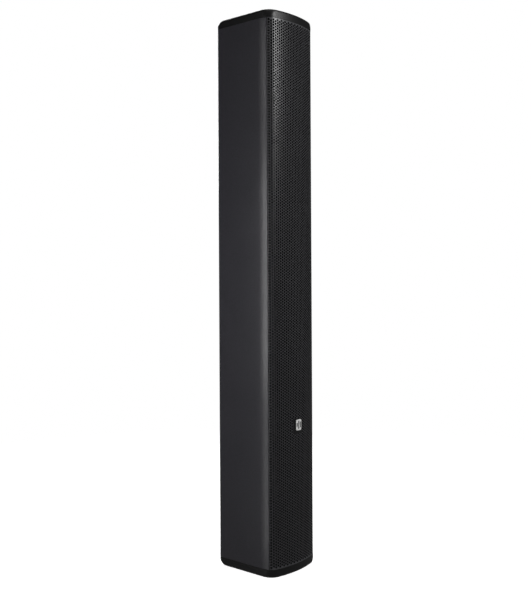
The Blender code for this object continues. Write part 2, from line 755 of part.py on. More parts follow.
def make_tap_switch(finishes):
    """Rotary switch behind the dish floor, and the knob whose spindle turns in it."""
    place = (0, DISH_FLOOR_Y, KNOB_Z)
    back = -DISH_WALL - GAP
    switch = new_object("tap_switch", box(0.027, 0.027, back - 0.018, back), finishes["board_laminate"],
                        place, FACING_REAR)
    bore = prism(circle(SPINDLE_HOLE_RADIUS, 12), -0.0160, 0.01)
    combine(switch, cutter("switch_bore", bore, place, FACING_REAR))
    seat = 0.0010
    knob = new_object("tap_knob", turned([
        (0.0, seat + KNOB_HEIGHT),
        (KNOB_RADIUS - 0.0012, seat + KNOB_HEIGHT),
        (KNOB_RADIUS - 0.0004, seat + KNOB_HEIGHT - 0.0010),
        (KNOB_RADIUS, seat),
        (SPINDLE_RADIUS, seat),
        (SPINDLE_RADIUS, -0.0150),
        (0.0, -0.0150),
    ]), finishes["knob_plastic"], place, FACING_REAR)
    pointer = stack(
        (seat + 0.002, rounded_rectangle(0.0050, 0.0120, 0.0010, (0, 0.0070), 1)),
        (seat + KNOB_HEIGHT + 0.001, rounded_rectangle(0.0036, 0.0110, 0.0010, (0, 0.0070), 1)),
    )
    combine(knob, cutter("knob_pointer", pointer, place, FACING_REAR), "UNION")


def make_wall_inserts(finish):
    """Threaded steel inserts, flush in the rear wall, for a wall bracket."""
    face = -0.0002
    for name, z in zip(("lower", "upper"), INSERT_ZS):
        insert = new_object(f"wall_insert_{name}", turned([
            (INSERT_BORE_RADIUS, face),
            (INSERT_FLANGE_RADIUS, face),
            (INSERT_FLANGE_RADIUS, -0.0012),
            (INSERT_BODY_RADIUS, -0.0012),
            (INSERT_BODY_RADIUS, -0.0160),
            (0.0, -0.0160),
            (0.0, -0.0140),
            (INSERT_BORE_RADIUS, -0.0140),
        ]), finish, (0, REAR_Y, z), FACING_REAR)
        shade_round(insert)


# ---- The whole loudspeaker ----


def make_finishes():
    return {
        "painted_aluminium": material("painted_aluminium", (0.035, 0.035, 0.039), 0.45, 0.0),
        "cap_plastic": material("cap_plastic", (0.012, 0.012, 0.013), 0.40),
        "seal_foam": material("seal_foam", (0.020, 0.020, 0.020), 0.95),
        "screw_steel": material("screw_steel", (0.030, 0.030, 0.032), 0.35, 0.9),
        "baffle_board": material("baffle_board", (0.015, 0.015, 0.015), 0.85),
        "grille_steel": material("grille_steel", (0.030, 0.030, 0.032), 0.38, 0.3),
        "acoustic_foam": material("acoustic_foam", (0.010, 0.010, 0.010), 1.0),
        "badge_plastic": material("badge_plastic", (0.020, 0.020, 0.021), 0.25),
        "driver_steel": material("driver_steel", (0.025, 0.025, 0.026), 0.50, 0.4),
        "cone_paper": material("cone_paper", (0.030, 0.028, 0.026), 0.90),
        "soft_rubber": material("soft_rubber", (0.015, 0.015, 0.015), 0.70),
        "magnet_ferrite": material("magnet_ferrite", (0.060, 0.060, 0.063), 0.55, 0.5),
        "horn_plastic": material("horn_plastic", (0.014, 0.014, 0.015), 0.45),
        "diaphragm_foil": material("diaphragm_foil", (0.55, 0.54, 0.52), 0.30, 1.0),
        "board_laminate": material("board_laminate", (0.020, 0.090, 0.040), 0.55),
        "coil_copper": material("coil_copper", (0.50, 0.20, 0.07), 0.35, 0.9),
        "capacitor_film": material("capacitor_film", (0.45, 0.30, 0.04), 0.35),
        "core_steel": material("core_steel", (0.120, 0.120, 0.130), 0.50, 0.7),
        "dish_plastic": material("dish_plastic", (0.018, 0.018, 0.019), 0.60),
        "socket_plastic": material("socket_plastic", (0.010, 0.010, 0.011), 0.35),
        "knob_plastic": material("knob_plastic", (0.016, 0.016, 0.017), 0.45),
        "insert_steel": material("insert_steel", (0.420, 0.410, 0.380), 0.35, 1.0),
        "wire_jacket": material("wire_jacket", (0.020, 0.020, 0.020), 0.55),
    }


def main():
    clear_scene()
    finishes = make_finishes()
    make_extrusion(finishes["painted_aluminium"])
    for end, upside_down in (("bottom", False), ("top", True)):
        make_cap(f"{end}_cap", finishes["cap_plastic"], upside_down)
        make_gasket(f"{end}_cap_gasket", finishes["seal_foam"], upside_down)
    make_cap_screws(finishes["screw_steel"])
    make_baffle(finishes["baffle_board"])
    make_grille(finishes["grille_steel"])
    make_grille_foam(finishes["acoustic_foam"])
    make_badge(finishes["badge_plastic"])
    make_woofers(finishes)
    horn_place = (0, BAFFLE_FRONT_Y, MIDDLE_Z)
    make_horn(finishes["horn_plastic"], horn_place)
    make_hf_driver(finishes, horn_place)
    make_port_tubes(finishes["horn_plastic"])
    make_crossover(finishes)
    make_transformer(finishes["core_steel"])
    make_damping_foam(finishes["acoustic_foam"])
    make_wiring(finishes["wire_jacket"])
    make_dish(finishes["dish_plastic"])
    make_sockets(finishes["socket_plastic"])
    make_tap_switch(finishes)
    make_wall_inserts(finishes["insert_steel"])


main()
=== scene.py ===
"""Looks of the column loudspeaker: its powder-coated body, perforated grille, end caps, drivers and sockets.

Everything is in metres in the frame's own axes: +Z up, and the front faces -Y.
"""

import math

import bmesh
import bpy
from mathutils import Matrix, Vector


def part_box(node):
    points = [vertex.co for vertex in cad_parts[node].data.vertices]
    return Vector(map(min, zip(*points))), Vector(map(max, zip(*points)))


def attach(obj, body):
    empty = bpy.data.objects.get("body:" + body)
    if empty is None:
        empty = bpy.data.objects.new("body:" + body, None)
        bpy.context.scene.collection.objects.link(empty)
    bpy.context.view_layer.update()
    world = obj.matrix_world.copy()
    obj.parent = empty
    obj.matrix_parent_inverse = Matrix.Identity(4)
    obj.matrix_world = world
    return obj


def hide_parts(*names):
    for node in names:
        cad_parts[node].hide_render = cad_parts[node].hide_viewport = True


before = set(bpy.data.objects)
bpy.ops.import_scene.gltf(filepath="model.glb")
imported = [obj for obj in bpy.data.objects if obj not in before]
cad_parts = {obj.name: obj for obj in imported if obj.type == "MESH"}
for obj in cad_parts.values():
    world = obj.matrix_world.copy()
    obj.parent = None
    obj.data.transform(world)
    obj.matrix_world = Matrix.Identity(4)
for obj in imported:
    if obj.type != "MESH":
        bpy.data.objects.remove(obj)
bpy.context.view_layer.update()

# ---- Sizes taken from the frame ----
body_low, body_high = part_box("cabinet_extrusion")
baffle_low, baffle_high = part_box("front_baffle")
grille_low, grille_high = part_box("grille")
badge_low, badge_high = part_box("badge")
dish_low, dish_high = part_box("input_dish")

HALF_WIDTH = body_high.x
FRONT_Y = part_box("bottom_cap")[0].y
REAR_Y = body_high.y
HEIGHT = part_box("top_cap")[1].z
MIDDLE_Z = HEIGHT / 2
BAFFLE_FRONT_Y = baffle_low.y
SHEET_GAP = 0.0003

def middle_height(node):
    low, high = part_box(node)
    return (low.z + high.z) / 2


WOOFER_ZS = [middle_height(f"woofer_cone_{n}") for n in range(1, 7)]
PORT_ZS = [middle_height(f"port_tube_{end}") for end in ("lower", "upper")]

# ---- Sizes of the section, as the solids have them ----
FRONT_BOW = 0.013
FRONT_CORNER_RADIUS = 0.020
REAR_CORNER_RADIUS = 0.009
BOW_RADIUS = (HALF_WIDTH**2 + FRONT_BOW**2) / (2 * FRONT_BOW)
BOW_CENTRE_Y = FRONT_Y + BOW_RADIUS
SIDE_EDGE_DEG = 28
SIDE_CURVE_DEG = 12
WALL = 0.003
LIP_Y = -0.047
LIP_DEPTH = 0.010
SCREW_BLOCK = (0.0125, 0.016)
SCREW_PLACES = [(side * (HALF_WIDTH - 0.011), y) for side in (-1, 1) for y in (-0.042, REAR_Y - 0.015)]

# ---- Sizes of the caps, the grille and the badge ----
CAP_HEIGHT = body_low.z - SHEET_GAP
CAP_RIM_RADIUS = 0.0045
CAP_BLEND = 0.011
CAP_EXTRA_RADIUS = (0.006, 0.011)
CAP_PLATE = 0.005
CAP_POCKET = (0.048, -0.036, 0.055)
CAP_RECESS = (0.0042, 0.0032)
SPIGOT_WALL = 0.003
SPIGOT_HEIGHT = 0.004
GRILLE_INSET = 0.0015
GRILLE_SHEET = 0.0012
GRILLE_LEG_X = HALF_WIDTH - WALL - 0.0034
GRILLE_START_DEG = 214
GRILLE_END_MARGIN = 0.001
HOLE_PITCH = 0.0054
HOLE_RADIUS = 0.00225
COLUMN_PAIRS = 15
MARK_HEIGHT = 0.0003
MARK_SIZE = (0.0165, 0.0215)
MARK_SHIFT = (0.0034, 0.002)
MARK_BARS = (0.0085, 0.016, 0.012)

# ---- Sizes of the drivers, the filter and the rear fittings ----
FLANGE_THICKNESS = 0.0035
DRIVER_FACE = SHEET_GAP + FLANGE_THICKNESS
HORN_MOUTH = (0.098, 0.116)
HORN_THROAT = 0.0127
HORN_DEPTH = 0.046
COIL_LAYERS = 7
DISH_Z = middle_height("input_dish")
DISH_CUTOUT = (0.092, 0.132)
DISH_OPENING = (0.086, 0.126)
DISH_FLANGE = (dish_high.x - dish_low.x, dish_high.z - dish_low.z)
DISH_DEPTH = 0.026
DISH_WALL = 0.0024
DISH_FLOOR_Y = REAR_Y - DISH_DEPTH
DISH_SCREWS = [(x * 0.0497, DISH_Z + up * 0.056) for x in (-1, 1) for up in (-1, 0, 1)]
SOCKET_XS = (-0.020, 0.020)
SOCKET_Z = DISH_Z + 0.028
KNOB_Z = DISH_Z - 0.028
INSERT_ZS = (0.300, 0.800)
INSERT_BORE = 0.0034
INSERT_BODY_RADIUS = 0.0055
INSERT_FLANGE_RADIUS = 0.008
LOOM_POINTS = [
    (0.020, 0.018, 0.193), (0.030, 0.015, 0.215), (0.046, 0.020, 0.250), (0.049, 0.024, 0.400),
    (0.049, 0.024, 0.550), (0.049, 0.024, 0.700), (0.048, 0.024, 0.860), (0.040, 0.018, 0.900),
    (0.026, 0.008, 0.906),
]

# ---- Studio values ----
FLOOR_RADIUS = 1.6
FLOOR_Z = -0.0002
FLOOR_GLOW = 0.85
ROOM_LEVEL = 0.07
FLOOR_BOUNCE = 0.12
CAMERA_PLACE = (-1.3008, -1.1001, 0.5768)
CAMERA_TURN_DEG = 49.606
CAMERA_ROLL = -0.0050
CAMERA_LENS = 50.23
CAMERA_SHIFT = -0.0340
LIGHTS = (
    ("side_strip", (-1.45, -0.32, 0.56), (-0.07, -0.03, 0.56), (0.30, 1.0), 3.0),
    ("front_softbox", (0.30, -1.70, 1.55), (0.0, -0.05, 0.75), (0.5, 0.6), 18.0),
    ("right_softbox", (1.20, -1.10, 0.80), (0.0, -0.05, 0.55), (0.8, 1.2), 0.4),
    ("near_strip", (-0.44, 0.095, 0.58), (-0.071, -0.05, 0.58), (0.04, 0.50), 0.45),
    ("tall_strip", (-0.45, 0.100, 0.55), (-0.071, -0.05, 0.55), (0.04, 1.30), 0.85),
    ("top_softbox", (-0.2, -0.3, 2.30), (0.0, 0.0, 0.6), (1.2, 1.2), 4.0),
    ("rear_softbox", (1.10, 1.40, 1.50), (0.0, 0.05, 0.55), (1.0, 1.2), 45.0),
)

FACING_FRONT = Matrix.Rotation(math.pi / 2, 4, "X")
FACING_REAR = Matrix.Rotation(math.pi, 4, "Z") @ FACING_FRONT
TURN_FRONT = (math.pi / 2, 0, 0)
TURN_REAR = (-math.pi / 2, 0, 0)


def front_matrix(x, y, z):
    return Matrix.Translation((x, y, z)) @ FACING_FRONT


def on_baffle(z=MIDDLE_Z):
    return front_matrix(0, BAFFLE_FRONT_Y, z)


def rear_matrix(x, y, z):
    return Matrix.Translation((x, y, z)) @ FACING_REAR


# ---- Node trees: arithmetic on sockets, and one method for every other node ----


class Wire:
    """A node's output. Arithmetic on it adds Math nodes to its tree."""

    def __init__(self, maker, socket):
        self.maker = maker
        self.socket = socket

    def maths(self, operation, first, second):
        return self.maker.node("ShaderNodeMath", {"operation": operation}, {0: first, 1: second})

    def also(self, output):
        """Another output of the same node."""
        return Wire(self.maker, self.socket.node.outputs[output])

    def __add__(self, other):
        return self.maths("ADD", self, other)

    def __sub__(self, other):
        return self.maths("SUBTRACT", self, other)

    def __rsub__(self, other):
        return self.maths("SUBTRACT", other, self)

    def __mul__(self, other):
        return self.maths("MULTIPLY", self, other)

    def __truediv__(self, other):
        return self.maths("DIVIDE", self, other)

    def __pow__(self, other):
        return self.maths("POWER", self, other)

    def __gt__(self, other):
        return self.maths("GREATER_THAN", self, other)

    __radd__ = __add__
    __rmul__ = __mul__


class TreeMaker:
    """Adds nodes to a shader tree or a geometry tree."""

    def __init__(self, tree):
        self.tree = tree

    def node(self, kind, settings=None, sockets=None, output=0):
        """A node of this type: its settings first, then the values or wires of its inputs."""
        made = self.tree.nodes.new(kind)
        for key, value in (settings or {}).items():
            if key == "stops":
                self.set_stops(made.color_ramp, value)
            else:
                setattr(made, key, value)
        for key, value in (sockets or {}).items():
            for part in value if isinstance(value, list) else [value]:
                if isinstance(part, Wire):
                    self.tree.links.new(part.socket, made.inputs[key])
                else:
                    made.inputs[key].default_value = part
        return Wire(self, made.outputs[output])

    @staticmethod
    def set_stops(ramp, stops):
        while len(ramp.elements) < len(stops):
            ramp.elements.new(1.0)
        for element, (position, level) in zip(ramp.elements, stops):
            element.position = position
            element.color = (level, level, level, 1.0)

    def part(self, wire, axis):
        """One axis of a vector: X, Y or Z."""
        return self.node("ShaderNodeSeparateXYZ", sockets={0: wire}, output=axis)


class Finish(TreeMaker):
    """A material with one Principled shader, whose patterns are drawn in metres on the object."""

    def __init__(self, name, **constants):
        self.material = bpy.data.materials.new(name)
        self.material.use_nodes = True
        super().__init__(self.material.node_tree)
        self.shader = self.tree.nodes["Principled BSDF"]
        for key, value in constants.items():
            self.shader.inputs[key.replace("_", " ")].default_value = value
        self.place = self.node("ShaderNodeTexCoord", output="Object")

    def feed(self, **wires):
        for key, wire in wires.items():
            self.tree.links.new(wire.socket, self.shader.inputs[key.replace("_", " ")])
        return self.material

    def noise(self, size, detail=2.0, stretch=(1, 1, 1)):
        """Noise from 0 to 1 whose blobs are about size metres across."""
        spot = self.node("ShaderNodeMapping", sockets={"Vector": self.place, "Scale": stretch})
        return self.node("ShaderNodeTexNoise", sockets={"Vector": spot, "Scale": 1 / size, "Detail": detail})

    def speckle(self, size):
        """A random level from 0 to 1 for each small cell."""
        cells = self.node("ShaderNodeTexVoronoi", sockets={
            "Vector": self.place, "Scale": 1 / size}, output="Color")
        return self.node("ShaderNodeSeparateColor", sockets={0: cells})

    def ramp(self, wire, *stops):
        return self.node("ShaderNodeValToRGB", {"stops": stops}, {0: wire})

    def patches(self, size, detail, start, end, stretch=(1, 1, 1)):
        """Scattered patches: a noise that counts only above a level."""
        return self.ramp(self.noise(size, detail, stretch), (start, 0.0), (end, 1.0))

    def blend(self, factor, low, high):
        """A colour between low and high."""
        ends = [colour if isinstance(colour, Wire) else (*colour, 1.0) for colour in (low, high)]
        return self.node("ShaderNodeMix", {"data_type": "RGBA"}, {0: factor, 6: ends[0], 7: ends[1]}, 2)

    def surface(self, relief, depth, strength=1.0, **wires):
        """Feeds the shader, with a relief from 0 to 1 that stands depth metres tall."""
        normal = self.node("ShaderNodeBump", sockets={
            "Height": relief, "Distance": depth, "Strength": strength})
        return self.feed(Normal=normal, **wires)


# ---- Finishes ----


def tint(colour, scale, lift=0.0):
    return [part * scale + lift for part in colour]


def powder_coat(name, dark, light, roughness, grain=0.0009, shine=0.5):
    """Satin powder coat: a fine orange peel, tiny flakes, faint clouds and scuffs near the floor."""
    coat = Finish(name, IOR=1.5, Specular_IOR_Level=shine)
    fine = coat.noise(grain, 3.0)
    flakes = coat.speckle(grain * 1.6)
    clouds = coat.noise(0.09)
    low_down = coat.ramp(coat.part(coat.place, "Z"), (0.0, 1.0), (0.16, 0.0))
    scuffs = coat.patches(0.012, 4.0, 0.62, 0.75, (1, 1, 0.25)) * low_down
    plain = coat.blend(flakes * 0.55 + fine * 0.35 + clouds * 0.25 - 0.1, dark, light)
    return coat.surface(
        fine * 0.7 + flakes * 0.3, 0.00006, 0.6,
        Base_Color=coat.blend(scuffs * 0.35, plain, tint(light, 1.6, 0.01)),
        Roughness=fine * 0.10 + clouds * 0.06 + scuffs * 0.08 + (roughness - 0.08))


def moulded_plastic(name, colour, roughness, grain=0.0007, depth=0.00003, shine=0.5):
    """Moulded plastic: a fine spark-eroded texture with handling marks that shine a little."""
    plastic = Finish(name, IOR=1.49, Specular_IOR_Level=shine)
    fine = plastic.noise(grain)
    marks = plastic.patches(0.02, 5.0, 0.55, 0.72)
    return plastic.surface(
        fine, depth, 0.5,
        Base_Color=plastic.blend(fine * 0.5 + marks * 0.3, colour, tint(colour, 1.5, 0.004)),
        Roughness=fine * 0.08 - marks * 0.06 + roughness)


def open_foam(name, colour, cell):
    """Foam: dark pores between paler struts; the pores' darkness is painted shade in the cells."""
    foam = Finish(name, Roughness=0.95, Specular_IOR_Level=0.2)
    pores = foam.node("ShaderNodeTexVoronoi", {"feature": "DISTANCE_TO_EDGE"},
                      {"Vector": foam.place, "Scale": 1 / cell})
    struts = foam.ramp(pores, (0.02, 1.0), (0.30, 0.0))
    shade = struts * 0.7 + foam.noise(0.03) * 0.3
    # Where the struts fade, the colour falls towards 0.35 of itself: painted shade in the pores.
    return foam.surface(struts, cell * 0.4, 0.8, Base_Color=foam.blend(shade, tint(colour, 0.35), colour))


def turned_metal(name, colour, roughness, metallic=1.0, depth=0.00002):
    """Plated or machined metal with fine scratches and a little tarnish."""
    metal = Finish(name)
    scratches = metal.noise(0.0006, 3.0, (1, 1, 6))
    tarnish = metal.patches(0.006, 4.0, 0.45, 0.75)
    return metal.surface(
        scratches, depth, 0.5,
        Base_Color=metal.blend(tarnish * 0.6 + scratches * 0.2, colour, tint(colour, 0.55)),
        Roughness=scratches * 0.12 + tarnish * 0.15 + (roughness - 0.06),
        Metallic=metallic - tarnish * 0.15)


def painted_board(name, colour):
    """Board under matt paint, whose grain runs up the column."""
    board = Finish(name, Specular_IOR_Level=0.3)
    grain = board.noise(0.0016, 4.0, (1, 1, 0.06))
    shade = grain * 0.6 + board.noise(0.05) * 0.3
    return board.surface(grain, 0.0001, 0.6, Base_Color=board.blend(shade, colour, tint(colour, 1.7, 0.004)),
                         Roughness=grain * 0.15 + 0.75)


def pressed_paper(name, colour):
    """Coated paper pulp with short random fibres."""
    paper = Finish(name, Sheen_Weight=0.15, Sheen_Roughness=0.5)
    fibres = paper.noise(0.0018, 6.0, (1.6, 0.6, 1.0))
    shade = fibres * 0.7 + paper.noise(0.008, 3.0) * 0.3 - 0.15
    return paper.surface(fibres, 0.00015, 0.7,
                         Base_Color=paper.blend(shade, colour, tint(colour, 1.9, 0.004)),
                         Roughness=fibres * 0.2 + 0.70)


def moulded_rubber(name, colour):
    """Rubber with a fine grain and a dusty bloom in patches."""
    rubber = Finish(name, IOR=1.46)
    fine = rubber.noise(0.0008)
    bloom = rubber.patches(0.015, 4.0, 0.50, 0.80)
    return rubber.surface(fine, 0.00004, 0.5,
                          Base_Color=rubber.blend(bloom * 0.45, colour, tint(colour, 2.2, 0.012)),
                          Roughness=fine * 0.10 + bloom * 0.15 + 0.55)


def circuit_laminate(name):
    """Green solder mask over copper tracks."""
    board = Finish(name, Coat_Roughness=0.15)
    turned_face = board.node("ShaderNodeMapping", sockets={"Vector": board.place, "Rotation": TURN_FRONT})
    cells = board.node("ShaderNodeTexBrick", {"offset": 0.5, "squash": 1.0}, {
        "Vector": turned_face, "Scale": 1.0, "Brick Width": 0.0075, "Row Height": 0.0050,
        "Mortar Size": 0.0005}, "Fac")
    tracks = cells * board.patches(0.012, 1.0, 0.46, 0.50)
    mask = board.blend(board.noise(0.02), (0.006, 0.050, 0.022), (0.010, 0.075, 0.032))
    return board.surface(tracks, 0.00006, Base_Color=board.blend(tracks * 0.6, mask, (0.05, 0.16, 0.05)),
                         Roughness=board.noise(0.003) * 0.15 + 0.30,
                         Coat_Weight=board.noise(0.05) * 0.2 + 0.3)


def enamelled_copper(name):
    """Copper wire whose enamel varies from amber to brown."""
    wire = Finish(name, Coat_Roughness=0.10)
    shade = wire.noise(0.004, 3.0)
    return wire.surface(wire.noise(0.0009), 0.00002,
                        Base_Color=wire.blend(shade, (0.42, 0.13, 0.04), (0.62, 0.25, 0.09)),
                        Roughness=shade * 0.15 + 0.25, Metallic=1.0 - shade * 0.2,
                        Coat_Weight=shade * 0.3 + 0.4)


def film_wrap(name):
    """Yellow film, creased where it is wound."""
    wrap = Finish(name, Coat_Roughness=0.08)
    creases = wrap.noise(0.004, 5.0, (1, 1, 0.4))
    return wrap.surface(creases, 0.0001, 0.4,
                        Base_Color=wrap.blend(creases, (0.42, 0.26, 0.03), (0.56, 0.38, 0.07)),
                        Roughness=creases * 0.2 + 0.25, Coat_Weight=creases * 0.4 + 0.2)


def laminations(name, colour):
    """A stack of varnished steel sheets, 0.5 mm each, whose edges run up the core."""
    core = Finish(name)
    sheets = core.node("ShaderNodeTexWave", {"bands_direction": "Y"}, {
        "Vector": core.place, "Scale": 2 * math.pi / 20 / 0.0005, "Distortion": 0.3, "Detail": 1.0})
    rust = core.patches(0.007, 4.0, 0.60, 0.78)
    steel = core.blend(sheets, colour, tint(colour, 1.8))
    return core.surface(sheets, 0.00008, Base_Color=core.blend(rust * 0.5, steel, (0.10, 0.04, 0.02)),
                        Roughness=rust * 0.3 + sheets * 0.1 + 0.40, Metallic=0.8 - rust * 0.6)


def pale_floor():
    """The studio's floor: a pale disc that fades into the background at its rim."""
    floor = Finish("studio_floor", Specular_IOR_Level=0.0, Roughness=0.9, Emission_Color=(1, 1, 1, 1),
                   Emission_Strength=FLOOR_GLOW)
    across, back = floor.part(floor.place, "X"), floor.part(floor.place, "Y")
    reach = (across * across + back * back) ** 0.5
    return floor.feed(Base_Color=floor.blend(floor.noise(0.15, 3.0), (0.80, 0.80, 0.80), (0.84, 0.84, 0.84)),
                      Alpha=floor.ramp(reach / FLOOR_RADIUS, (0.12, 1.0), (0.98, 0.0)))


FINISHES = {name: maker(name, *values) for maker, name, *values in (
    (powder_coat, "painted_aluminium", (0.0205, 0.0197, 0.0245), (0.0368, 0.0354, 0.0434), 0.32),
    (powder_coat, "grille_steel", (0.052, 0.052, 0.056), (0.086, 0.086, 0.092), 0.32, 0.0006),
    # grille_edges: painted shade, a near-black copy of the grille steel for the holes' cut walls, so the
    # holes read dark
    (powder_coat, "grille_edges", (0.0025, 0.0025, 0.0027), (0.0045, 0.0045, 0.0048), 0.6, 0.0006, 0.12),
    (powder_coat, "driver_steel", (0.018, 0.018, 0.019), (0.030, 0.030, 0.031), 0.48, 0.0007),
    (moulded_plastic, "cap_plastic", (0.0045, 0.0045, 0.0048), 0.36, 0.0007, 0.00003, 0.35),
    (moulded_plastic, "badge_plastic", (0.004, 0.004, 0.0045), 0.16, 0.0010, 0.00001),
    (moulded_plastic, "mark_white", (0.88, 0.88, 0.87), 0.40, 0.0008, 0.00001),
    (moulded_plastic, "horn_plastic", (0.012, 0.012, 0.013), 0.48),
    (moulded_plastic, "dish_plastic", (0.016, 0.016, 0.017), 0.58, 0.0006, 0.00005),
    (moulded_plastic, "socket_plastic", (0.008, 0.008, 0.009), 0.34),
    (moulded_plastic, "knob_plastic", (0.014, 0.014, 0.015), 0.46),
    (moulded_plastic, "switch_plastic", (0.018, 0.026, 0.048), 0.45),
    (moulded_plastic, "winding_tape", (0.30, 0.22, 0.05), 0.38, 0.0012),
    (open_foam, "seal_foam", (0.030, 0.030, 0.030), 0.0005),
    # acoustic_foam: black foam, made darker still as painted shade behind the grille holes
    (open_foam, "acoustic_foam", (0.0030, 0.0030, 0.0031), 0.0014),
    (open_foam, "wadding", (0.16, 0.16, 0.17), 0.0022),
    (moulded_rubber, "soft_rubber", (0.012, 0.012, 0.012)),
    (moulded_rubber, "wire_jacket", (0.016, 0.016, 0.017)),
    (turned_metal, "screw_steel", (0.045, 0.045, 0.048), 0.34, 0.9),
    (turned_metal, "insert_steel", (0.52, 0.50, 0.44), 0.32),
    (turned_metal, "contact_brass", (0.62, 0.45, 0.20), 0.28),
    (turned_metal, "diaphragm_foil", (0.62, 0.60, 0.57), 0.30),
    (turned_metal, "magnet_ferrite", (0.10, 0.10, 0.105), 0.50, 0.6, 0.00005),
    (painted_board, "baffle_board", (0.014, 0.014, 0.014)),
    (pressed_paper, "cone_paper", (0.018, 0.017, 0.016)),
    (circuit_laminate, "board_laminate"),
    (enamelled_copper, "coil_copper"),
    (film_wrap, "capacitor_film"),
    (laminations, "core_steel", (0.09, 0.09, 0.10)),
)}

# ---- Outlines: lists of (x, y) points ----


def arc(cx, cy, radius, start_deg, end_deg, steps):
    angles = [math.radians(start_deg + (end_deg - start_deg) * n / steps) for n in range(steps + 1)]
    return [(cx + radius * math.cos(a), cy + radius * math.sin(a)) for a in angles]


def mirrored(points):
    return [(-x, y) for x, y in reversed(points)]


def circle(radius, steps):
    return arc(0.0, 0.0, radius, 0, 360 * (steps - 1) / steps, steps - 1)


def rounded(width, height, radius, centre=(0.0, 0.0), steps=8):
    """A rectangle with round corners."""
    hx, hy = width / 2 - radius, height / 2 - radius
    corners = ((hx, hy, 0), (-hx, hy, 90), (-hx, -hy, 180), (hx, -hy, 270))
    return [point for x, y, start in corners
            for point in arc(centre[0] + x, centre[1] + y, radius, start, start + 90, steps)]


def hexagon(across_flats, steps=24):
    points = []
    for n in range(steps):
        angle = 2 * math.pi * n / steps
        from_flat = (angle + math.pi / 6) % (math.pi / 3) - math.pi / 6
        radius = across_flats / 2 / math.cos(from_flat)
        points.append((radius * math.cos(angle), radius * math.sin(angle)))
    return points


def front_corner(radius):
    """Where the left front corner's arc has its centre, and the angle at which it meets the bow."""
    corner_x = -HALF_WIDTH + radius
    corner_y = BOW_CENTRE_Y - math.sqrt((BOW_RADIUS - radius) ** 2 - corner_x**2)
    return corner_x, corner_y, 360 + math.degrees(math.atan2(corner_y - BOW_CENTRE_Y, corner_x))


def front_curve(inset, start_deg=180.0, radius=FRONT_CORNER_RADIUS, corner_steps=14, bow_steps=16):
    """The bowed front, from start_deg on the left corner round to the same place on the right."""
    corner_x, corner_y, meet_deg = front_corner(radius)
    corner = arc(corner_x, corner_y, radius - inset, start_deg, meet_deg, corner_steps)
    half_bow = arc(0, BOW_CENTRE_Y, BOW_RADIUS - inset, meet_deg, 270, bow_steps)
    left = corner + half_bow[1:]
    return left + mirrored(left)[1:]


def column_outline(inset, fuller=0.0):
    """The plan outline, moved inwards by inset. The caps' corners are fuller by a share from 0 to 1."""
    front = FRONT_CORNER_RADIUS + fuller * CAP_EXTRA_RADIUS[0]
    rear = REAR_CORNER_RADIUS + fuller * CAP_EXTRA_RADIUS[1]
    rear_left = arc(-HALF_WIDTH + rear, REAR_Y - rear, rear - inset, 90, 180, 12)
    return rear_left + front_curve(inset, radius=front) + mirrored(rear_left)


def side_wrap(inset):
    """The side wall's gentle curve, from its front edge on the corner's arc back to the flat."""
    corner_x, corner_y, _ = front_corner(FRONT_CORNER_RADIUS)
    edge = arc(corner_x, corner_y, FRONT_CORNER_RADIUS, 180, 180 + SIDE_EDGE_DEG, 1)[1]
    turn = math.radians(SIDE_CURVE_DEG)
    radius = (edge[0] + HALF_WIDTH) / (1 - math.cos(turn))
    centre = (-HALF_WIDTH + radius, edge[1] + radius * math.sin(turn))
    return arc(*centre, radius - inset, 180 + SIDE_CURVE_DEG, 180, 12)


def extrusion_outline():
    """The aluminium U, with its lips and screw corners."""
    inner_x, inner_y = HALF_WIDTH - WALL, REAR_Y - WALL
    block_x = inner_x - SCREW_BLOCK[0]
    outer = side_wrap(0.0) + arc(-HALF_WIDTH + REAR_CORNER_RADIUS, REAR_Y - REAR_CORNER_RADIUS,
                                 REAR_CORNER_RADIUS, 180, 90, 14)
    inner = [
        (-block_x, inner_y), (-block_x, inner_y - SCREW_BLOCK[1]), (-inner_x, inner_y - SCREW_BLOCK[1]),
        (-inner_x, LIP_Y + LIP_DEPTH), (-block_x, LIP_Y + LIP_DEPTH), (-block_x, LIP_Y), (-inner_x, LIP_Y),
        *side_wrap(WALL)[::-1],
    ]
    return outer + mirrored(outer) + mirrored(inner) + inner


# ---- Meshes ----


def add_object(name, data):
    made = bpy.data.objects.new(name, data)
    bpy.context.scene.collection.objects.link(made)
    return made


def new_piece(name, shape, finish=None, matrix=None):
    """An object at the origin, whose mesh is the shape moved to its place."""
    if matrix is not None:
        bmesh.ops.transform(shape, matrix=matrix, verts=shape.verts)
    bmesh.ops.recalc_face_normals(shape, faces=shape.faces)
    mesh = bpy.data.meshes.new(name)
    shape.to_mesh(mesh)
    shape.free()
    if finish is not None:
        mesh.materials.append(FINISHES[finish])
    return add_object(name, mesh)


def loft(rings, closed=False):
    """Quads between rings of (x, y, z) points. A closed loft joins up, and another gets end faces."""
    shape = bmesh.new()
    made = [[shape.verts.new(point) for point in ring] for ring in rings]
    for low, high in zip(made, made[1:] + made[:1] if closed else made[1:]):
        for n, corner in enumerate(low):
            after = (n + 1) % len(low)
            shape.faces.new((corner, low[after], high[after], high[n]))
    if not closed:
        shape.faces.new(made[0])
        shape.faces.new(made[-1])
    return shape


def stack(*levels):
    return loft([[(x, y, z) for x, y in outline] for z, outline in levels])


def prism(outline, low=-0.01, high=0.01):
    return stack((low, outline), (high, outline))


def bore(radius, steps, matrix, low=-0.01, high=0.01):
    return prism(circle(radius, steps), low, high), matrix


def softened(width, height, radius, low, high, edge=0.0006, steps=3):
    """A rounded slab whose outer edge at height high is rounded by edge."""
    levels = [(low, rounded(width, height, radius))]
    for n in range(steps + 1):
        angle = math.pi / 2 * n / steps
        shrink = edge * (1 - math.cos(angle))
        levels.append((high - edge + edge * math.sin(angle),
                       rounded(width - 2 * shrink, height - 2 * shrink, radius - shrink)))
    return stack(*levels)


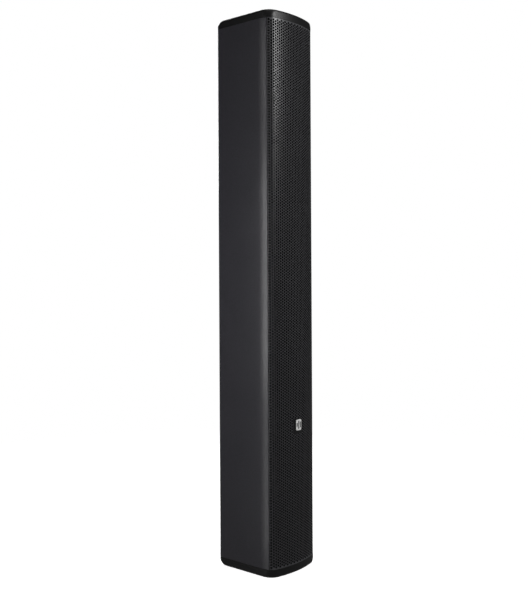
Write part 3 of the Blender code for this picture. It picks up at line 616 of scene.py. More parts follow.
def turned(profile, steps=64):
    """A closed profile of (radius, height) points, turned a full circle about Z."""
    shape = bmesh.new()
    rings = []
    for radius, height in profile:
        ring = [(0, 0)] if radius < 1e-7 else circle(radius, steps)
        rings.append([shape.verts.new((x, y, height)) for x, y in ring])
    for low, high in zip(rings, rings[1:] + rings[:1]):
        if len(low) == 1 and len(high) == 1:
            continue
        for n in range(steps):
            after = (n + 1) % steps
            corners = [low[n % len(low)], low[after % len(low)], high[after % len(high)], high[n % len(high)]]
            shape.faces.new(list(dict.fromkeys(corners)))
    return shape


def eased(points, radius=0.0006, steps=3):
    """Rounds the corners of a closed profile, apart from those on the axis."""
    smooth = []
    for n, (x, z) in enumerate(points):
        if x < 1e-7:
            smooth.append((x, z))
            continue
        before, here, after = Vector(points[n - 1]), Vector((x, z)), Vector(points[(n + 1) % len(points)])
        reach = min(radius, (before - here).length / 2.2, (after - here).length / 2.2)
        start = here + (before - here).normalized() * reach
        end = here + (after - here).normalized() * reach
        for step in range(steps + 1):
            t = step / steps
            smooth.append(tuple(start * (1 - t) ** 2 + here * 2 * t * (1 - t) + end * t**2))
    return smooth


def along(points, steps, curve):
    """Points between the ends of a stretch, bent by a curve of a share from 0 to 1."""
    (x0, z0), (x1, z1) = points
    return [(x0 + (x1 - x0) * n / steps, z0 + (z1 - z0) * curve(n / steps)) for n in range(steps + 1)]


def real_mesh(piece):
    graph = bpy.context.evaluated_depsgraph_get()
    return bpy.data.meshes.new_from_object(piece.evaluated_get(graph))


def settle(piece):
    """Makes what the modifiers give the piece's own mesh."""
    made = real_mesh(piece)
    piece.modifiers.clear()
    piece.data = made
    return piece


def combine(piece, shapes, operation="DIFFERENCE"):
    """Cuts the shapes out of the piece, or joins them to it."""
    helpers = []
    for shape, matrix in shapes:
        helper = new_piece(piece.name + "_cutter", shape, None, matrix)
        step = piece.modifiers.new("cut", "BOOLEAN")
        step.operation = operation
        step.object = helper
        step.solver = "EXACT"
        helpers.append(helper)
    finishes = list(piece.data.materials)
    settle(piece)
    piece.data.materials.clear()
    for finish in finishes:
        piece.data.materials.append(finish)
    for helper in helpers:
        bpy.data.objects.remove(helper)


def bevel(piece, width, segments):
    step = piece.modifiers.new("bevel", "BEVEL")
    step.width = width
    step.segments = segments
    step.limit_method = "ANGLE"
    step.angle_limit = math.radians(50)
    settle(piece)


def smooth(piece, angle_deg=35):
    piece.data.shade_smooth()
    piece.data.set_sharp_from_angle(angle=math.radians(angle_deg))
    return piece


def done(piece, slot, *nodes, body="cabinet"):
    """The finished piece moves with its body and stands for the nodes; its slot is not used."""
    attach(piece, body)
    if nodes:
        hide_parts(*nodes)


def finished(name, finish, shape, matrix=None, node=None, slot=None, body="cabinet", angle_deg=35,
             join=(), cut=()):
    """A piece of this shape, joined to and cut by others, with sharp edges above an angle only."""
    piece = new_piece(name, shape, finish, matrix)
    if join:
        combine(piece, join, "UNION")
    if cut:
        combine(piece, cut)
    done(smooth(piece, angle_deg), slot or finish, *([node] if node else []), body=body)
    return piece


# ---- Geometry node trees ----


class GeometryMaker(TreeMaker):
    """A geometry tree with named inputs. build() runs it on a host mesh and gives a plain piece."""

    def __init__(self, name, **inputs):
        tree = bpy.data.node_groups.new(name, "GeometryNodeTree")
        super().__init__(tree)
        tree.interface.new_socket("Geometry", in_out="OUTPUT", socket_type="NodeSocketGeometry")
        for key, kind in {"Geometry": "Geometry", **inputs, "Finish": "Material"}.items():
            tree.interface.new_socket(key.replace("_", " "), in_out="INPUT", socket_type="NodeSocket" + kind)
        self.entry = tree.nodes.new("NodeGroupInput")
        self.exit = tree.nodes.new("NodeGroupOutput")

    def given(self, *names):
        wires = [Wire(self, self.entry.outputs[name]) for name in names]
        return wires if len(wires) > 1 else wires[0]

    def vector(self, x=0.0, y=0.0, z=0.0):
        return self.node("ShaderNodeCombineXYZ", sockets={0: x, 1: y, 2: z})

    def vector_maths(self, operation, first, second):
        place = "Scale" if operation == "SCALE" else 1
        return self.node("ShaderNodeVectorMath", {"operation": operation}, {0: first, place: second})

    def copies(self, points, shape, scale=(1, 1, 1), turn=(0, 0, 0)):
        return self.node("GeometryNodeInstanceOnPoints", sockets={
            "Points": points, "Instance": shape, "Scale": scale, "Rotation": turn})

    def row(self, count, start, step):
        return self.node("GeometryNodeMeshLine", sockets={
            "Count": count, "Start Location": start, "Offset": step})

    def shape_of(self, name):
        return self.node("GeometryNodeObjectInfo", sockets={"Object": self.given(name)}, output="Geometry")

    def join(self, *parts):
        return self.node("GeometryNodeJoinGeometry", sockets={0: list(parts)})

    def weld(self, geometry):
        return self.node("GeometryNodeMergeByDistance", sockets={"Geometry": geometry, "Distance": 0.00003})

    def moved(self, geometry, **sockets):
        return self.node("GeometryNodeSetPosition", sockets={"Geometry": geometry, **sockets})

    def rod(self, path, section):
        return self.node("GeometryNodeCurveToMesh", sockets={
            "Curve": path, "Profile Curve": section, "Fill Caps": True})

    def round_section(self, sides):
        return self.node("GeometryNodeCurvePrimitiveCircle", sockets={
            "Resolution": sides, "Radius": self.given("Wire")})

    def at_place(self, geometry):
        return self.node("GeometryNodeTransform", sockets={
            "Geometry": geometry, "Translation": self.given("Place"), "Rotation": self.given("Facing")})

    def end(self, geometry, **second):
        """The tree's last nodes: real geometry in its finish, and a second finish where one is wanted."""
        made = self.node("GeometryNodeRealizeInstances", sockets={0: geometry})
        for paint in ({"Material": self.given("Finish")}, second):
            if paint:
                made = self.node("GeometryNodeSetMaterial", sockets={"Geometry": made, **paint})
        self.tree.links.new(made.socket, self.exit.inputs[0])
        return self

    def build(self, name, finish, places=(), **values):
        """A piece made by this tree from a host mesh with a point at each of the places."""
        mesh = bpy.data.meshes.new(name)
        mesh.from_pydata([tuple(place) for place in places], [], [])
        piece = add_object(name, mesh)
        step = piece.modifiers.new("nodes", "NODES")
        step.node_group = self.tree
        values["Finish"] = FINISHES[finish]
        for item in self.tree.interface.items_tree:
            key = item.name.replace(" ", "_")
            if item.in_out == "INPUT" and key in values:
                step[item.identifier] = values[key]
        return settle(piece)


def perforated_tree():
    """A flat sheet of staggered holes, cut in half, given its thickness and wrapped round a section."""
    tree = GeometryMaker("perforated_sheet", Section="Object", Hole_Cell="Object", Blank_Cell="Object",
                         Pitch="Float", Step="Float", Column_Pairs="Int", Rows="Int", Bottom="Float",
                         End_Margin="Float", Leg="Float", Joggle="Float", Thickness="Float", Side="Float",
                         Cut_Edges="Material")
    pitch, step, pairs, rows = tree.given("Pitch", "Step", "Column Pairs", "Rows")
    bottom, margin, joggle, leg = tree.given("Bottom", "End Margin", "Joggle", "Leg")
    hole, blank = tree.shape_of("Hole Cell"), tree.shape_of("Blank Cell")
    half, height, left = pitch * 0.5, pitch * rows, step * pairs * -1.0

    def column(count, low):
        return tree.copies(tree.row(count, tree.vector(z=low), tree.vector(z=pitch)), hole)

    def columns(first, holes):
        return tree.copies(tree.row(pairs, tree.vector(left + step * first), tree.vector(step * 2.0)), holes)

    def band(count, x, z, across, up, wide=1.0, tall=1.0):
        line = tree.row(count, tree.vector(x, 0.0, z), tree.vector(across, 0.0, up))
        return tree.copies(line, blank, tree.vector(wide, 1.0, tall))

    parts = [
        columns(0.5, column(rows, bottom + half)),
        columns(1.5, column(rows - 1, bottom + pitch)),
        band(pairs, left + step * 1.5, bottom + half * 0.5, step * 2.0, 0.0),
        band(pairs, left + step * 1.5, bottom + height - half * 0.5, step * 2.0, 0.0),
    ]
    tall = margin / half
    ends = (bottom - margin * 0.5, bottom + height + margin * 0.5)
    for z in ends:
        parts.append(band(pairs * 2.0, left + step * 0.5, z, step, 0.0, 1.0, tall))
    for width, x in ((joggle, left - joggle * 0.5), (leg, left - joggle - leg * 0.5)):
        for sign in (1.0, -1.0):
            parts.append(band(rows * 2.0, x * sign, bottom + half * 0.5, 0.0, half, width / step))
            for z in ends:
                parts.append(band(1, x * sign, z, 0.0, 0.0, width / step, tall))
    flat = tree.weld(tree.node("GeometryNodeRealizeInstances", sockets={0: tree.join(*parts)}))
    spot = tree.node("GeometryNodeInputPosition")
    across = tree.part(spot, "X")
    kept = tree.node("GeometryNodeSeparateGeometry", {"domain": "FACE"}, {
        "Geometry": flat, "Selection": across * tree.given("Side") > 0.0})
    deep = tree.node("GeometryNodeExtrudeMesh", {"mode": "FACES"}, {
        "Mesh": kept, "Offset": (0, 1, 0), "Offset Scale": tree.given("Thickness"), "Individual": False})
    front = tree.node("GeometryNodeFlipFaces", sockets={0: kept})
    section = tree.shape_of("Section")
    whole = tree.node("GeometryNodeCurveLength", sockets={0: section})
    on_path = tree.node("GeometryNodeSampleCurve", {"mode": "LENGTH"}, {
        "Curves": section, "Length": across + whole * 0.5}, "Position")
    outward = tree.vector_maths("CROSS_PRODUCT", on_path.also("Tangent"), (0, 0, 1))
    inward = tree.vector_maths("SCALE", outward, tree.part(spot, "Y") * -1.0)
    wrapped = tree.vector_maths("ADD", on_path, inward)
    lifted = tree.vector_maths("ADD", wrapped, tree.vector(z=tree.part(spot, "Z")))
    formed = tree.moved(tree.weld(tree.join(deep, front)), Position=lifted)
    # The holes' cut walls take the second finish, a near-black painted shade that darkens the holes.
    return tree.end(formed, Selection=deep.also("Side"), Material=tree.given("Cut Edges"))


def fastener_tree():
    """A screw at each point of the host, all facing one way, each turned to a random angle."""
    tree = GeometryMaker("fasteners", Screw="Object", Facing="Vector", Seed="Int")
    screws = tree.copies(tree.given("Geometry"), tree.shape_of("Screw"), turn=tree.given("Facing"))
    angle = tree.node("FunctionNodeRandomValue", {"data_type": "FLOAT"}, {
        "Min": 0.0, "Max": math.pi, "Seed": tree.given("Seed")}, 1)
    return tree.end(tree.node("GeometryNodeRotateInstances", sockets={
        "Instances": screws, "Rotation": tree.vector(z=angle), "Local Space": True}))


def ring_tree():
    """Copies of one shape round a circle about Z, from a start angle by an even step."""
    tree = GeometryMaker("ring_of_copies", Shape="Object", Count="Int", Radius="Float",
                         Start="Float", Turn="Float", Place="Vector", Facing="Vector")
    line = tree.row(tree.given("Count"), (0, 0, 0), (0, 0, 0))
    angle = tree.node("GeometryNodeInputIndex") * tree.given("Turn") + tree.given("Start")
    arm = tree.node("ShaderNodeVectorRotate", {"rotation_type": "Z_AXIS"}, {
        "Vector": tree.vector(tree.given("Radius")), "Angle": angle})
    ring = tree.copies(tree.moved(line, Position=arm), tree.shape_of("Shape"), turn=tree.vector(z=angle))
    return tree.end(tree.at_place(ring))


def helix_tree():
    """A round wire wound into a cylinder of turns about Z: a thread's crest or a coil's layer."""
    tree = GeometryMaker("helix", Turns="Float", Radius="Float", Height="Float", Wire="Float",
                         Sides="Int", Steps="Int", Place="Vector", Facing="Vector")
    spiral = tree.node("GeometryNodeCurveSpiral", sockets={
        "Resolution": tree.given("Steps"), "Rotations": tree.given("Turns"),
        "Start Radius": tree.given("Radius"), "End Radius": tree.given("Radius"),
        "Height": tree.given("Height")})
    return tree.end(tree.at_place(tree.rod(spiral, tree.round_section(tree.given("Sides")))))


def loom_tree():
    """Three wires twisted round a route, with a tie every so often."""
    tree = GeometryMaker("wiring", Route="Object", Tie="Object", Lay="Float", Spread="Float", Wire="Float",
                         Tie_Spacing="Float")
    route = tree.node("GeometryNodeResampleCurve", {"mode": "LENGTH"}, {
        "Curve": tree.shape_of("Route"), "Length": 0.005})
    length = tree.node("GeometryNodeSplineParameter", output="Length")
    normal = tree.node("GeometryNodeInputNormal")
    side = tree.vector_maths("CROSS_PRODUCT", normal, tree.node("GeometryNodeInputTangent"))
    section = tree.round_section(10)
    parts = []
    for number in range(3):
        angle = length / tree.given("Lay") * (2 * math.pi) + number * 2 * math.pi / 3
        swing = []
        for direction, operation in ((normal, "COSINE"), (side, "SINE")):
            share = tree.node("ShaderNodeMath", {"operation": operation}, {0: angle})
            swing.append(tree.vector_maths("SCALE", direction, share * tree.given("Spread")))
        parts.append(tree.rod(tree.moved(route, Offset=tree.vector_maths("ADD", *swing)), section))
    stops = tree.node("GeometryNodeCurveToPoints", {"mode": "LENGTH"}, {
        "Curve": tree.shape_of("Route"), "Length": tree.given("Tie Spacing")})
    return tree.end(tree.join(*parts, tree.copies(stops, tree.shape_of("Tie"), turn=stops.also("Rotation"))))


PERFORATED, FASTENERS, RING = perforated_tree(), fastener_tree(), ring_tree()
HELIX, LOOM = helix_tree(), loom_tree()

# ---- Helper shapes that the trees copy. They are removed at the end. ----

HELPERS = []


def hidden(name, shape, matrix=None):
    helper = new_piece(name, shape, None, matrix)
    HELPERS.append(helper)
    return helper


def hidden_curve(name, points):
    curve = bpy.data.curves.new(name, "CURVE")
    curve.dimensions = "3D"
    spline = curve.splines.new("POLY")
    spline.points.add(len(points) - 1)
    for point, place in zip(spline.points, points):
        point.co = (*place, 1)
    helper = add_object(name, curve)
    HELPERS.append(helper)
    return helper


def socket_screw(name, head_radius, head_height, shank_radius, length, countersunk=False):
    """A screw with a hexagon socket. Its head stands on z = 0, or ends flush with it if countersunk."""
    top, head = head_height, ((0.0, shank_radius), (0.0, head_radius), (head_height * 0.6, head_radius),
                              (head_height * 0.9, head_radius * 0.92), (head_height, head_radius * 0.78))
    if countersunk:
        top, head = 0.0, ((-head_height, shank_radius), (-0.0003, head_radius), (0.0, head_radius - 0.0002))
    rounds = ((-length, shank_radius * 0.6), (-length + 0.0008, shank_radius), *head)
    key = head_radius * 1.05
    recess = ((top, key * 1.06), (top - 0.0002, key), (top - head_height * 0.6, key))
    return hidden(name, stack(*[(z, circle(radius, 24)) for z, radius in rounds],
                              *[(z, hexagon(flats)) for z, flats in recess]))


def add_screws(name, screw, places, turn, seed, *nodes):
    screws = FASTENERS.build(name, "screw_steel", places, Screw=screw, Facing=turn, Seed=seed)
    done(smooth(screws), "screw_steel", *nodes)


def add_ring(name, finish, shape, count, radius, start_deg, step_deg, place, slot, body="cabinet",
             angle_deg=35):
    ring = RING.build(name, finish, Shape=shape, Count=count, Radius=radius, Start=math.radians(start_deg),
                      Turn=math.radians(step_deg), Place=place, Facing=TURN_REAR)
    done(smooth(ring, angle_deg), slot, body=body)


def hole_cell(name, step, pitch, radius):
    """One cell of the perforated sheet: a flat rectangle with a round hole, facing -Y."""
    shape = bmesh.new()
    sx, sz = step / 2, pitch / 2
    rim = [shape.verts.new((x, 0, z)) for x, z in
           ((sx, 0), (sx, sz), (-sx, sz), (-sx, 0), (-sx, -sz), (sx, -sz))]
    hole = [shape.verts.new((x, 0, z)) for x, z in circle(radius, 12)]
    for n in range(6):
        after = (n + 1) % 6
        shape.faces.new((rim[n], rim[after], hole[2 * after], hole[2 * n + 1], hole[2 * n]))
    return hidden(name, shape)


def blank_cell(name, step, height):
    shape = bmesh.new()
    shape.faces.new([shape.verts.new((x * step / 2, 0, z * height / 2))
                     for x, z in ((-1, -1), (1, -1), (1, 1), (-1, 1))])
    return hidden(name, shape)


# ---- Cabinet ----


def cone_cut(top_radius, bottom_radius, depth, beyond=0.006):
    """A cutter for a countersunk seat: a cone under the face, and a plain bore below it."""
    levels = ((-beyond, bottom_radius), (-depth, bottom_radius), (0.0, top_radius),
              (beyond, top_radius + beyond))
    return stack(*[(z, circle(radius, 32)) for z, radius in levels])


def make_body():
    shell = prism(extrusion_outline(), body_low.z, body_high.z)
    body = new_piece("body_shell", shell, "painted_aluminium")
    cuts = [bore(0.002, 20, Matrix.Translation((*place, 0)), body_low.z - 0.01, body_high.z + 0.01)
            for place in SCREW_PLACES]
    cuts.append((prism(rounded(*DISH_CUTOUT, 0.004)), rear_matrix(0, REAR_Y, DISH_Z)))
    for z in INSERT_ZS:
        cuts.append(bore(INSERT_FLANGE_RADIUS + 0.0004, 40, rear_matrix(0, REAR_Y, z), -0.0015))
        cuts.append(bore(INSERT_BODY_RADIUS + 0.0004, 40, rear_matrix(0, REAR_Y, z)))
    for x, z in DISH_SCREWS:
        cuts.append((cone_cut(0.0032, 0.0017, 0.0018), rear_matrix(x, REAR_Y, z)))
    combine(body, cuts)
    bevel(body, 0.00025, 2)
    done(smooth(body, 32), "painted_aluminium", "cabinet_extrusion")


def cap_levels(height_at):
    """The cap's outside: a rounded rim whose corners are full, and a small step at the joint."""

    def level(height, inset):
        fuller = 0.5 + 0.5 * math.cos(math.pi * min(1.0, height / CAP_BLEND))
        return height_at(height), column_outline(inset, fuller)

    rim = CAP_RIM_RADIUS
    angles = [math.pi / 2 * n / 8 for n in range(9)]
    levels = [level(rim * (1 - math.cos(a)), rim * (1 - math.sin(a))) for a in angles]
    levels += [level(rim + (CAP_BLEND - rim) * n / 6, 0.0) for n in range(1, 7)]
    levels.append((height_at(CAP_HEIGHT - 0.0003), column_outline(0.0)))
    levels.append((height_at(CAP_HEIGHT), column_outline(0.0003)))
    return levels


def make_cap(end, height_at):
    half, front, rear = CAP_POCKET
    middle = (0, (front + rear) / 2)
    wide, deep = 2 * half, rear - front
    top = CAP_HEIGHT + SPIGOT_HEIGHT
    spigot = rounded(wide + 2 * SPIGOT_WALL, deep + 2 * SPIGOT_WALL, 0.008, middle)
    pocket = rounded(wide, deep, 0.006, middle)
    cuts = [(prism(pocket, height_at(CAP_PLATE), height_at(top + 0.002)), None)]
    for place in SCREW_PLACES:
        where = Matrix.Translation((*place, 0))
        cuts.append(bore(CAP_RECESS[0], 32, where, height_at(-0.002), height_at(CAP_RECESS[1])))
        cuts.append(bore(0.0022, 24, where, height_at(0.0), height_at(CAP_HEIGHT + 0.002)))
    spigot_wall = prism(spigot, height_at(CAP_HEIGHT - 0.002), height_at(top))
    finished(f"{end}_moulding", "cap_plastic", stack(*cap_levels(height_at)), None, f"{end}_cap",
             angle_deg=30, join=[(spigot_wall, None)], cut=cuts)
    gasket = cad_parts[f"{end}_cap_gasket"].data
    gasket.materials.clear()
    gasket.materials.append(FINISHES["seal_foam"])


def make_caps():
    make_cap("bottom", lambda height: height)
    make_cap("top", lambda height: HEIGHT - height)
    screw = socket_screw("cap_screw", 0.0037, 0.0024, 0.0016, 0.0215)
    seat = CAP_RECESS[1] - SHEET_GAP
    for end, z, turn in (("top", HEIGHT - seat, (0, 0, 0)), ("bottom", seat, (math.pi, 0, 0))):
        add_screws(f"{end}_cap_fasteners", screw, [(*place, z) for place in SCREW_PLACES], turn, 3,
                   *[f"{end}_cap_screw_{n}" for n in range(1, 5)])


# ---- Grille ----


def make_grille():
    face = front_curve(GRILLE_INSET, GRILLE_START_DEG, FRONT_CORNER_RADIUS, 20, 50)
    fold = [(-GRILLE_LEG_X, LIP_Y - 0.0005), (-GRILLE_LEG_X, face[0][1] + 0.0002)]
    section = fold + face + mirrored(fold)
    lengths = [(Vector(a) - Vector(b)).length for a, b in zip(section, section[1:])]
    leg, joggle = lengths[:2]
    step = (sum(lengths) / 2 - leg - joggle) / COLUMN_PAIRS
    rows = int((grille_high.z - grille_low.z - 2 * GRILLE_END_MARGIN) / HOLE_PITCH)
    margin = (grille_high.z - grille_low.z - rows * HOLE_PITCH) / 2
    path = hidden_curve("grille_path", [(x, y, 0) for x, y in section])
    hole = hole_cell("grille_hole", step, HOLE_PITCH, HOLE_RADIUS)
    blank = blank_cell("grille_blank", step, HOLE_PITCH / 2)
    for name, side in (("grille_left", -1.0), ("grille_right", 1.0)):
        sheet = PERFORATED.build(
            name, "grille_steel", Section=path, Hole_Cell=hole, Blank_Cell=blank, Pitch=HOLE_PITCH,
            Step=step, Column_Pairs=COLUMN_PAIRS, Rows=rows, Bottom=grille_low.z + margin,
            End_Margin=margin, Leg=leg, Joggle=joggle, Thickness=GRILLE_SHEET, Side=side,
            Cut_Edges=FINISHES["grille_edges"])
        done(smooth(sheet, 30), "grille_steel", "grille")


def make_grille_foam():
    foam_low, foam_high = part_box("grille_foam")
    inset = GRILLE_INSET + GRILLE_SHEET + SHEET_GAP
    face, back = [[p for p in front_curve(depth) if abs(p[0]) <= foam_high.x + 1e-5]
                  for depth in (inset, inset + 0.004)]
    finished("grille_liner", "acoustic_foam", prism(face + back[::-1], foam_low.z, foam_high.z), None,
             "grille_foam", angle_deg=25)


def make_badge():
    """A gloss plate with a generic mark: a white tile with three level bars left open in it."""
    wide, thick, tall = badge_high - badge_low
    plate_top = thick - MARK_HEIGHT
    base = front_matrix(0, badge_high.y, (badge_low.z + badge_high.z) / 2)
    finished("badge_plate", "badge_plastic", softened(wide, tall, 0.004, 0.0, plate_top, 0.0005, 4), base,
             "badge", angle_deg=40)
    place = base @ Matrix.Translation((*MARK_SHIFT, 0))
    bars = [rounded(0.003, length, 0.0012, ((n - 1) * 0.005, 0.0), 6) for n, length in enumerate(MARK_BARS)]
    finished("badge_mark", "mark_white", softened(*MARK_SIZE, 0.003, plate_top, thick, 0.00015, 2), place,
             slot="badge_plastic", angle_deg=40,
             cut=[(prism(bar, plate_top - 0.001, thick + 0.001), place) for bar in bars])


# ---- Baffle and drivers ----


def make_baffle():
    wide, thick, tall = baffle_high - baffle_low
    board = prism(rounded(wide, tall, 0.001, steps=2), -thick, 0)
    baffle = new_piece("baffle_board", board, "baffle_board", on_baffle())
    cuts = [bore(0.047, 64, on_baffle(z)) for z in WOOFER_ZS]
    cuts += [bore(0.0318, 48, on_baffle(z)) for z in PORT_ZS]
    cuts.append((prism(rounded(0.106, 0.124, 0.008)), on_baffle()))
    combine(baffle, cuts)
    bevel(baffle, 0.0004, 1)
    done(baffle, "baffle_board", "front_baffle")
    screw = socket_screw("front_screw", 0.003, 0.0018, 0.0016, 0.008)
    flange_y = BAFFLE_FRONT_Y - DRIVER_FACE
    places = [(x * 0.0415, flange_y, z + up * 0.0415) for z in WOOFER_ZS for x in (-1, 1) for up in (-1, 1)]
    places += [(x * 0.054, flange_y, MIDDLE_Z + up * 0.0635) for x in (-1, 0, 1) for up in (-1, 0, 1)
               if (x, up) != (0, 0)]
    places += [(x * 0.0572, BAFFLE_FRONT_Y, z) for x in (-1, 1)
               for z in (0.035, 0.235, 0.435, 0.665, 0.865, 1.065)]
    add_screws("baffle_fasteners", screw, places, TURN_FRONT, 11)


def cone_profile():
    front = along(((0.0375, 0.0022), (0.013, -0.0155)), 14, lambda t: t**0.9)
    ribbed = [(x, z + (0.00035 if n in (4, 8) else 0.0)) for n, (x, z) in enumerate(front)]
    dome = along(((0.0126, -0.015), (0.0, -0.0108)), 10, lambda t: 1 - (1 - t) ** 2)
    under = along(((0.0, -0.0118), (0.012, -0.0162)), 8, lambda t: t**2)
    former = [(0.0122, -0.039), (0.013, -0.039), (0.013, -0.0172)]
    back = along(((0.0132, -0.0168), (0.0375, 0.0009)), 14, lambda t: t**1.1)
    return ribbed + dome + under + former + back


def surround_profile():
    x, z, rise = 0.04155, 0.0036, 0.0032

    def roll(wide, tall, numbers):
        angles = [math.pi * n / 16 for n in numbers]
        return [(x - wide * math.cos(a), z + tall * math.sin(a)) for a in angles]

    inner = [p for p in roll(rise - 0.0007, rise - 0.0007, range(16, -1, -1)) if p[1] > 0.0038]
    return [(0.038, 0.0017), *roll(rise + 0.0001, rise, range(17)), (0.049, 0.0049), (0.049, 0.0041),
            (0.0447, 0.0041), *inner, (0.0388, 0.0017)]


def basket_master():
    outer = softened(0.104, 0.104, 0.016, SHEET_GAP, DRIVER_FACE, 0.0007, 3)
    basket = new_piece("basket", outer, "driver_steel")
    combine(basket, [bore(0.045, 64, None)])
    bowl = turned(eased([
        (0.046, 0.003), (0.046, -0.004), (0.0316, -0.0285), (0.0316, -0.0305), (0.020, -0.0305),
        (0.020, -0.0287), (0.0298, -0.0287), (0.0442, -0.004), (0.0442, 0.003)], 0.0008, 2))
    combine(basket, [(bowl, None)], "UNION")
    window = rounded(0.034, 0.034, 0.004, (0.0, 0.037), 4)
    combine(basket, [(prism(window, -0.025, -0.008), Matrix.Rotation(turn * math.pi / 2, 4, "Z"))
                     for turn in range(4)])
    return smooth(basket)


def magnet_profile():
    return eased([
        (0.0, -0.0295), (0.0112, -0.0295), (0.0112, -0.0498), (0.020, -0.0498), (0.020, -0.0358),
        (0.0146, -0.0358), (0.0146, -0.0308), (0.036, -0.0308), (0.036, -0.0358), (0.0385, -0.0358),
        (0.0385, -0.0498), (0.036, -0.0498), (0.036, -0.0548), (0.0, -0.0548)], 0.0006, 3)


def make_woofers():
    """Six of each part, copied from one master."""
    masters = [("frame", basket_master(), "driver_steel")]
    for part, name, profile, finish, angle_deg in (
            ("cone", "cone", cone_profile(), "cone_paper", 50),
            ("surround", "roll", surround_profile(), "soft_rubber", 60),
            ("magnet", "motor", magnet_profile(), "magnet_ferrite", 35)):
        masters.append((part, smooth(new_piece(name, turned(profile), finish), angle_deg), finish))
    for number, z in enumerate(WOOFER_ZS, 1):
        for part, master, slot in masters:
            mesh = master.data.copy()
            mesh.transform(on_baffle(z))
            body = f"cone_{number}" if part == "cone" else "cabinet"
            done(add_object(f"{master.name}_{number}", mesh), slot, f"woofer_{part}_{number}", body=body)
    for _, master, _ in masters:
        bpy.data.objects.remove(master)


def horn_ring(share, wall):
    """The horn's section at a share of its depth, from the rectangular mouth to the round throat."""
    narrow = (1 - share) ** 1.2
    width, height = [side * narrow + 2 * HORN_THROAT * (1 - narrow) + 2 * wall for side in HORN_MOUTH]
    least = min(width, height) / 2
    corner = 0.006 + (least - wall - 0.006) * share**0.6
    depth = DRIVER_FACE - (HORN_DEPTH + FLANGE_THICKNESS) * share
    return [(x, y, depth) for x, y in rounded(width, height, min(corner + wall, least - 1e-5), steps=10)]


def make_horn():
    steps = 20
    rings = [horn_ring(n / steps, 0.0) for n in range(steps, 0, -1)]
    wide, tall = HORN_MOUTH
    for width, height, radius, depth in (
            (wide + 0.001, tall + 0.001, 0.0065, DRIVER_FACE - 0.0001),
            (wide + 0.003, tall + 0.003, 0.007, DRIVER_FACE),
            (0.117, 0.137, 0.0055, DRIVER_FACE), (0.118, 0.138, 0.006, DRIVER_FACE - 0.0006),
            (0.118, 0.138, 0.006, SHEET_GAP), (0.1045, 0.1225, 0.0085, SHEET_GAP)):
        rings.append([(x, y, depth) for x, y in rounded(width, height, radius, steps=10)])
    behind = [horn_ring(n / steps, 0.0025) for n in range(2, steps + 1)]
    rings += [ring for ring in behind if ring[0][2] < SHEET_GAP - 0.0015]
    finished("hf_waveguide", "horn_plastic", loft(rings, closed=True), on_baffle(),
             "hf_horn", angle_deg=40)


def make_hf_driver():
    front = -(HORN_DEPTH + SHEET_GAP)
    matrix = on_baffle()
    fins = []
    for n in range(6):
        z = front - 0.007 - n * 0.003
        fins += [(0.040, z), (0.0392, z - 0.0004), (0.0392, z - 0.0011), (0.040, z - 0.0015)]
    profile = [(HORN_THROAT, front), (0.038, front), (0.040, front - 0.002), *fins,
               (0.040, front - 0.031), (0.038, front - 0.033), (0.0, front - 0.033), (0.0, front - 0.017),
               (0.024, front - 0.017), (0.024, front - 0.009), (HORN_THROAT, front - 0.009)]
    finished("hf_motor", "driver_steel", turned(eased(profile, 0.0004, 2)), matrix, "hf_driver")
    foil = along(((0.0, front - 0.011), (0.0165, front - 0.0138)), 12, lambda t: t**2)
    foil += [(0.0172, front - 0.0134), (0.0184, front - 0.0141), (0.0195, front - 0.0135),
             (0.0208, front - 0.0141), (0.0225, front - 0.014)]
    under = [(x, z - 0.0006) for x, z in foil[::-1]]
    finished("hf_dome", "diaphragm_foil", turned(foil + under), matrix, "hf_diaphragm", body="hf_dome",
             angle_deg=50)


def make_ports():
    flare = [(0.0285 + 0.004 * (1 - math.cos(a)), -0.004 + 0.0073 * math.sin(a))
             for a in (math.pi / 2 * n / 10 for n in range(11))]
    profile = [(0.0358, 0.0033), (0.0366, 0.003), (0.037, 0.0022), (0.037, SHEET_GAP), (0.031, SHEET_GAP),
               (0.031, -0.0794), (0.0304, -0.08), (0.0291, -0.08), (0.0285, -0.0794), *flare]
    for word, z in zip(("lower", "upper"), PORT_ZS):
        finished(f"port_{word}", "horn_plastic", turned(profile), on_baffle(z),
                 f"port_tube_{word}")


# ---- Inside, on the rear wall ----


def room(node):
    """A node's middle and its size, and the matrix that stands a local shape on its rear face."""
    low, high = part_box(node)
    middle = (low + high) / 2
    return middle, high - low, front_matrix(middle.x, high.y, middle.z)


def fill_room(name, finish, node, edge=0.0008, cut=()):
    """A softened block that fills a node's box, rounded on the edges that face the front."""
    _, (wide, deep, tall), matrix = room(node)
    finished(name, finish, softened(wide, tall, 0.002, 0.0, deep, edge, 3), matrix, node, cut=cut)


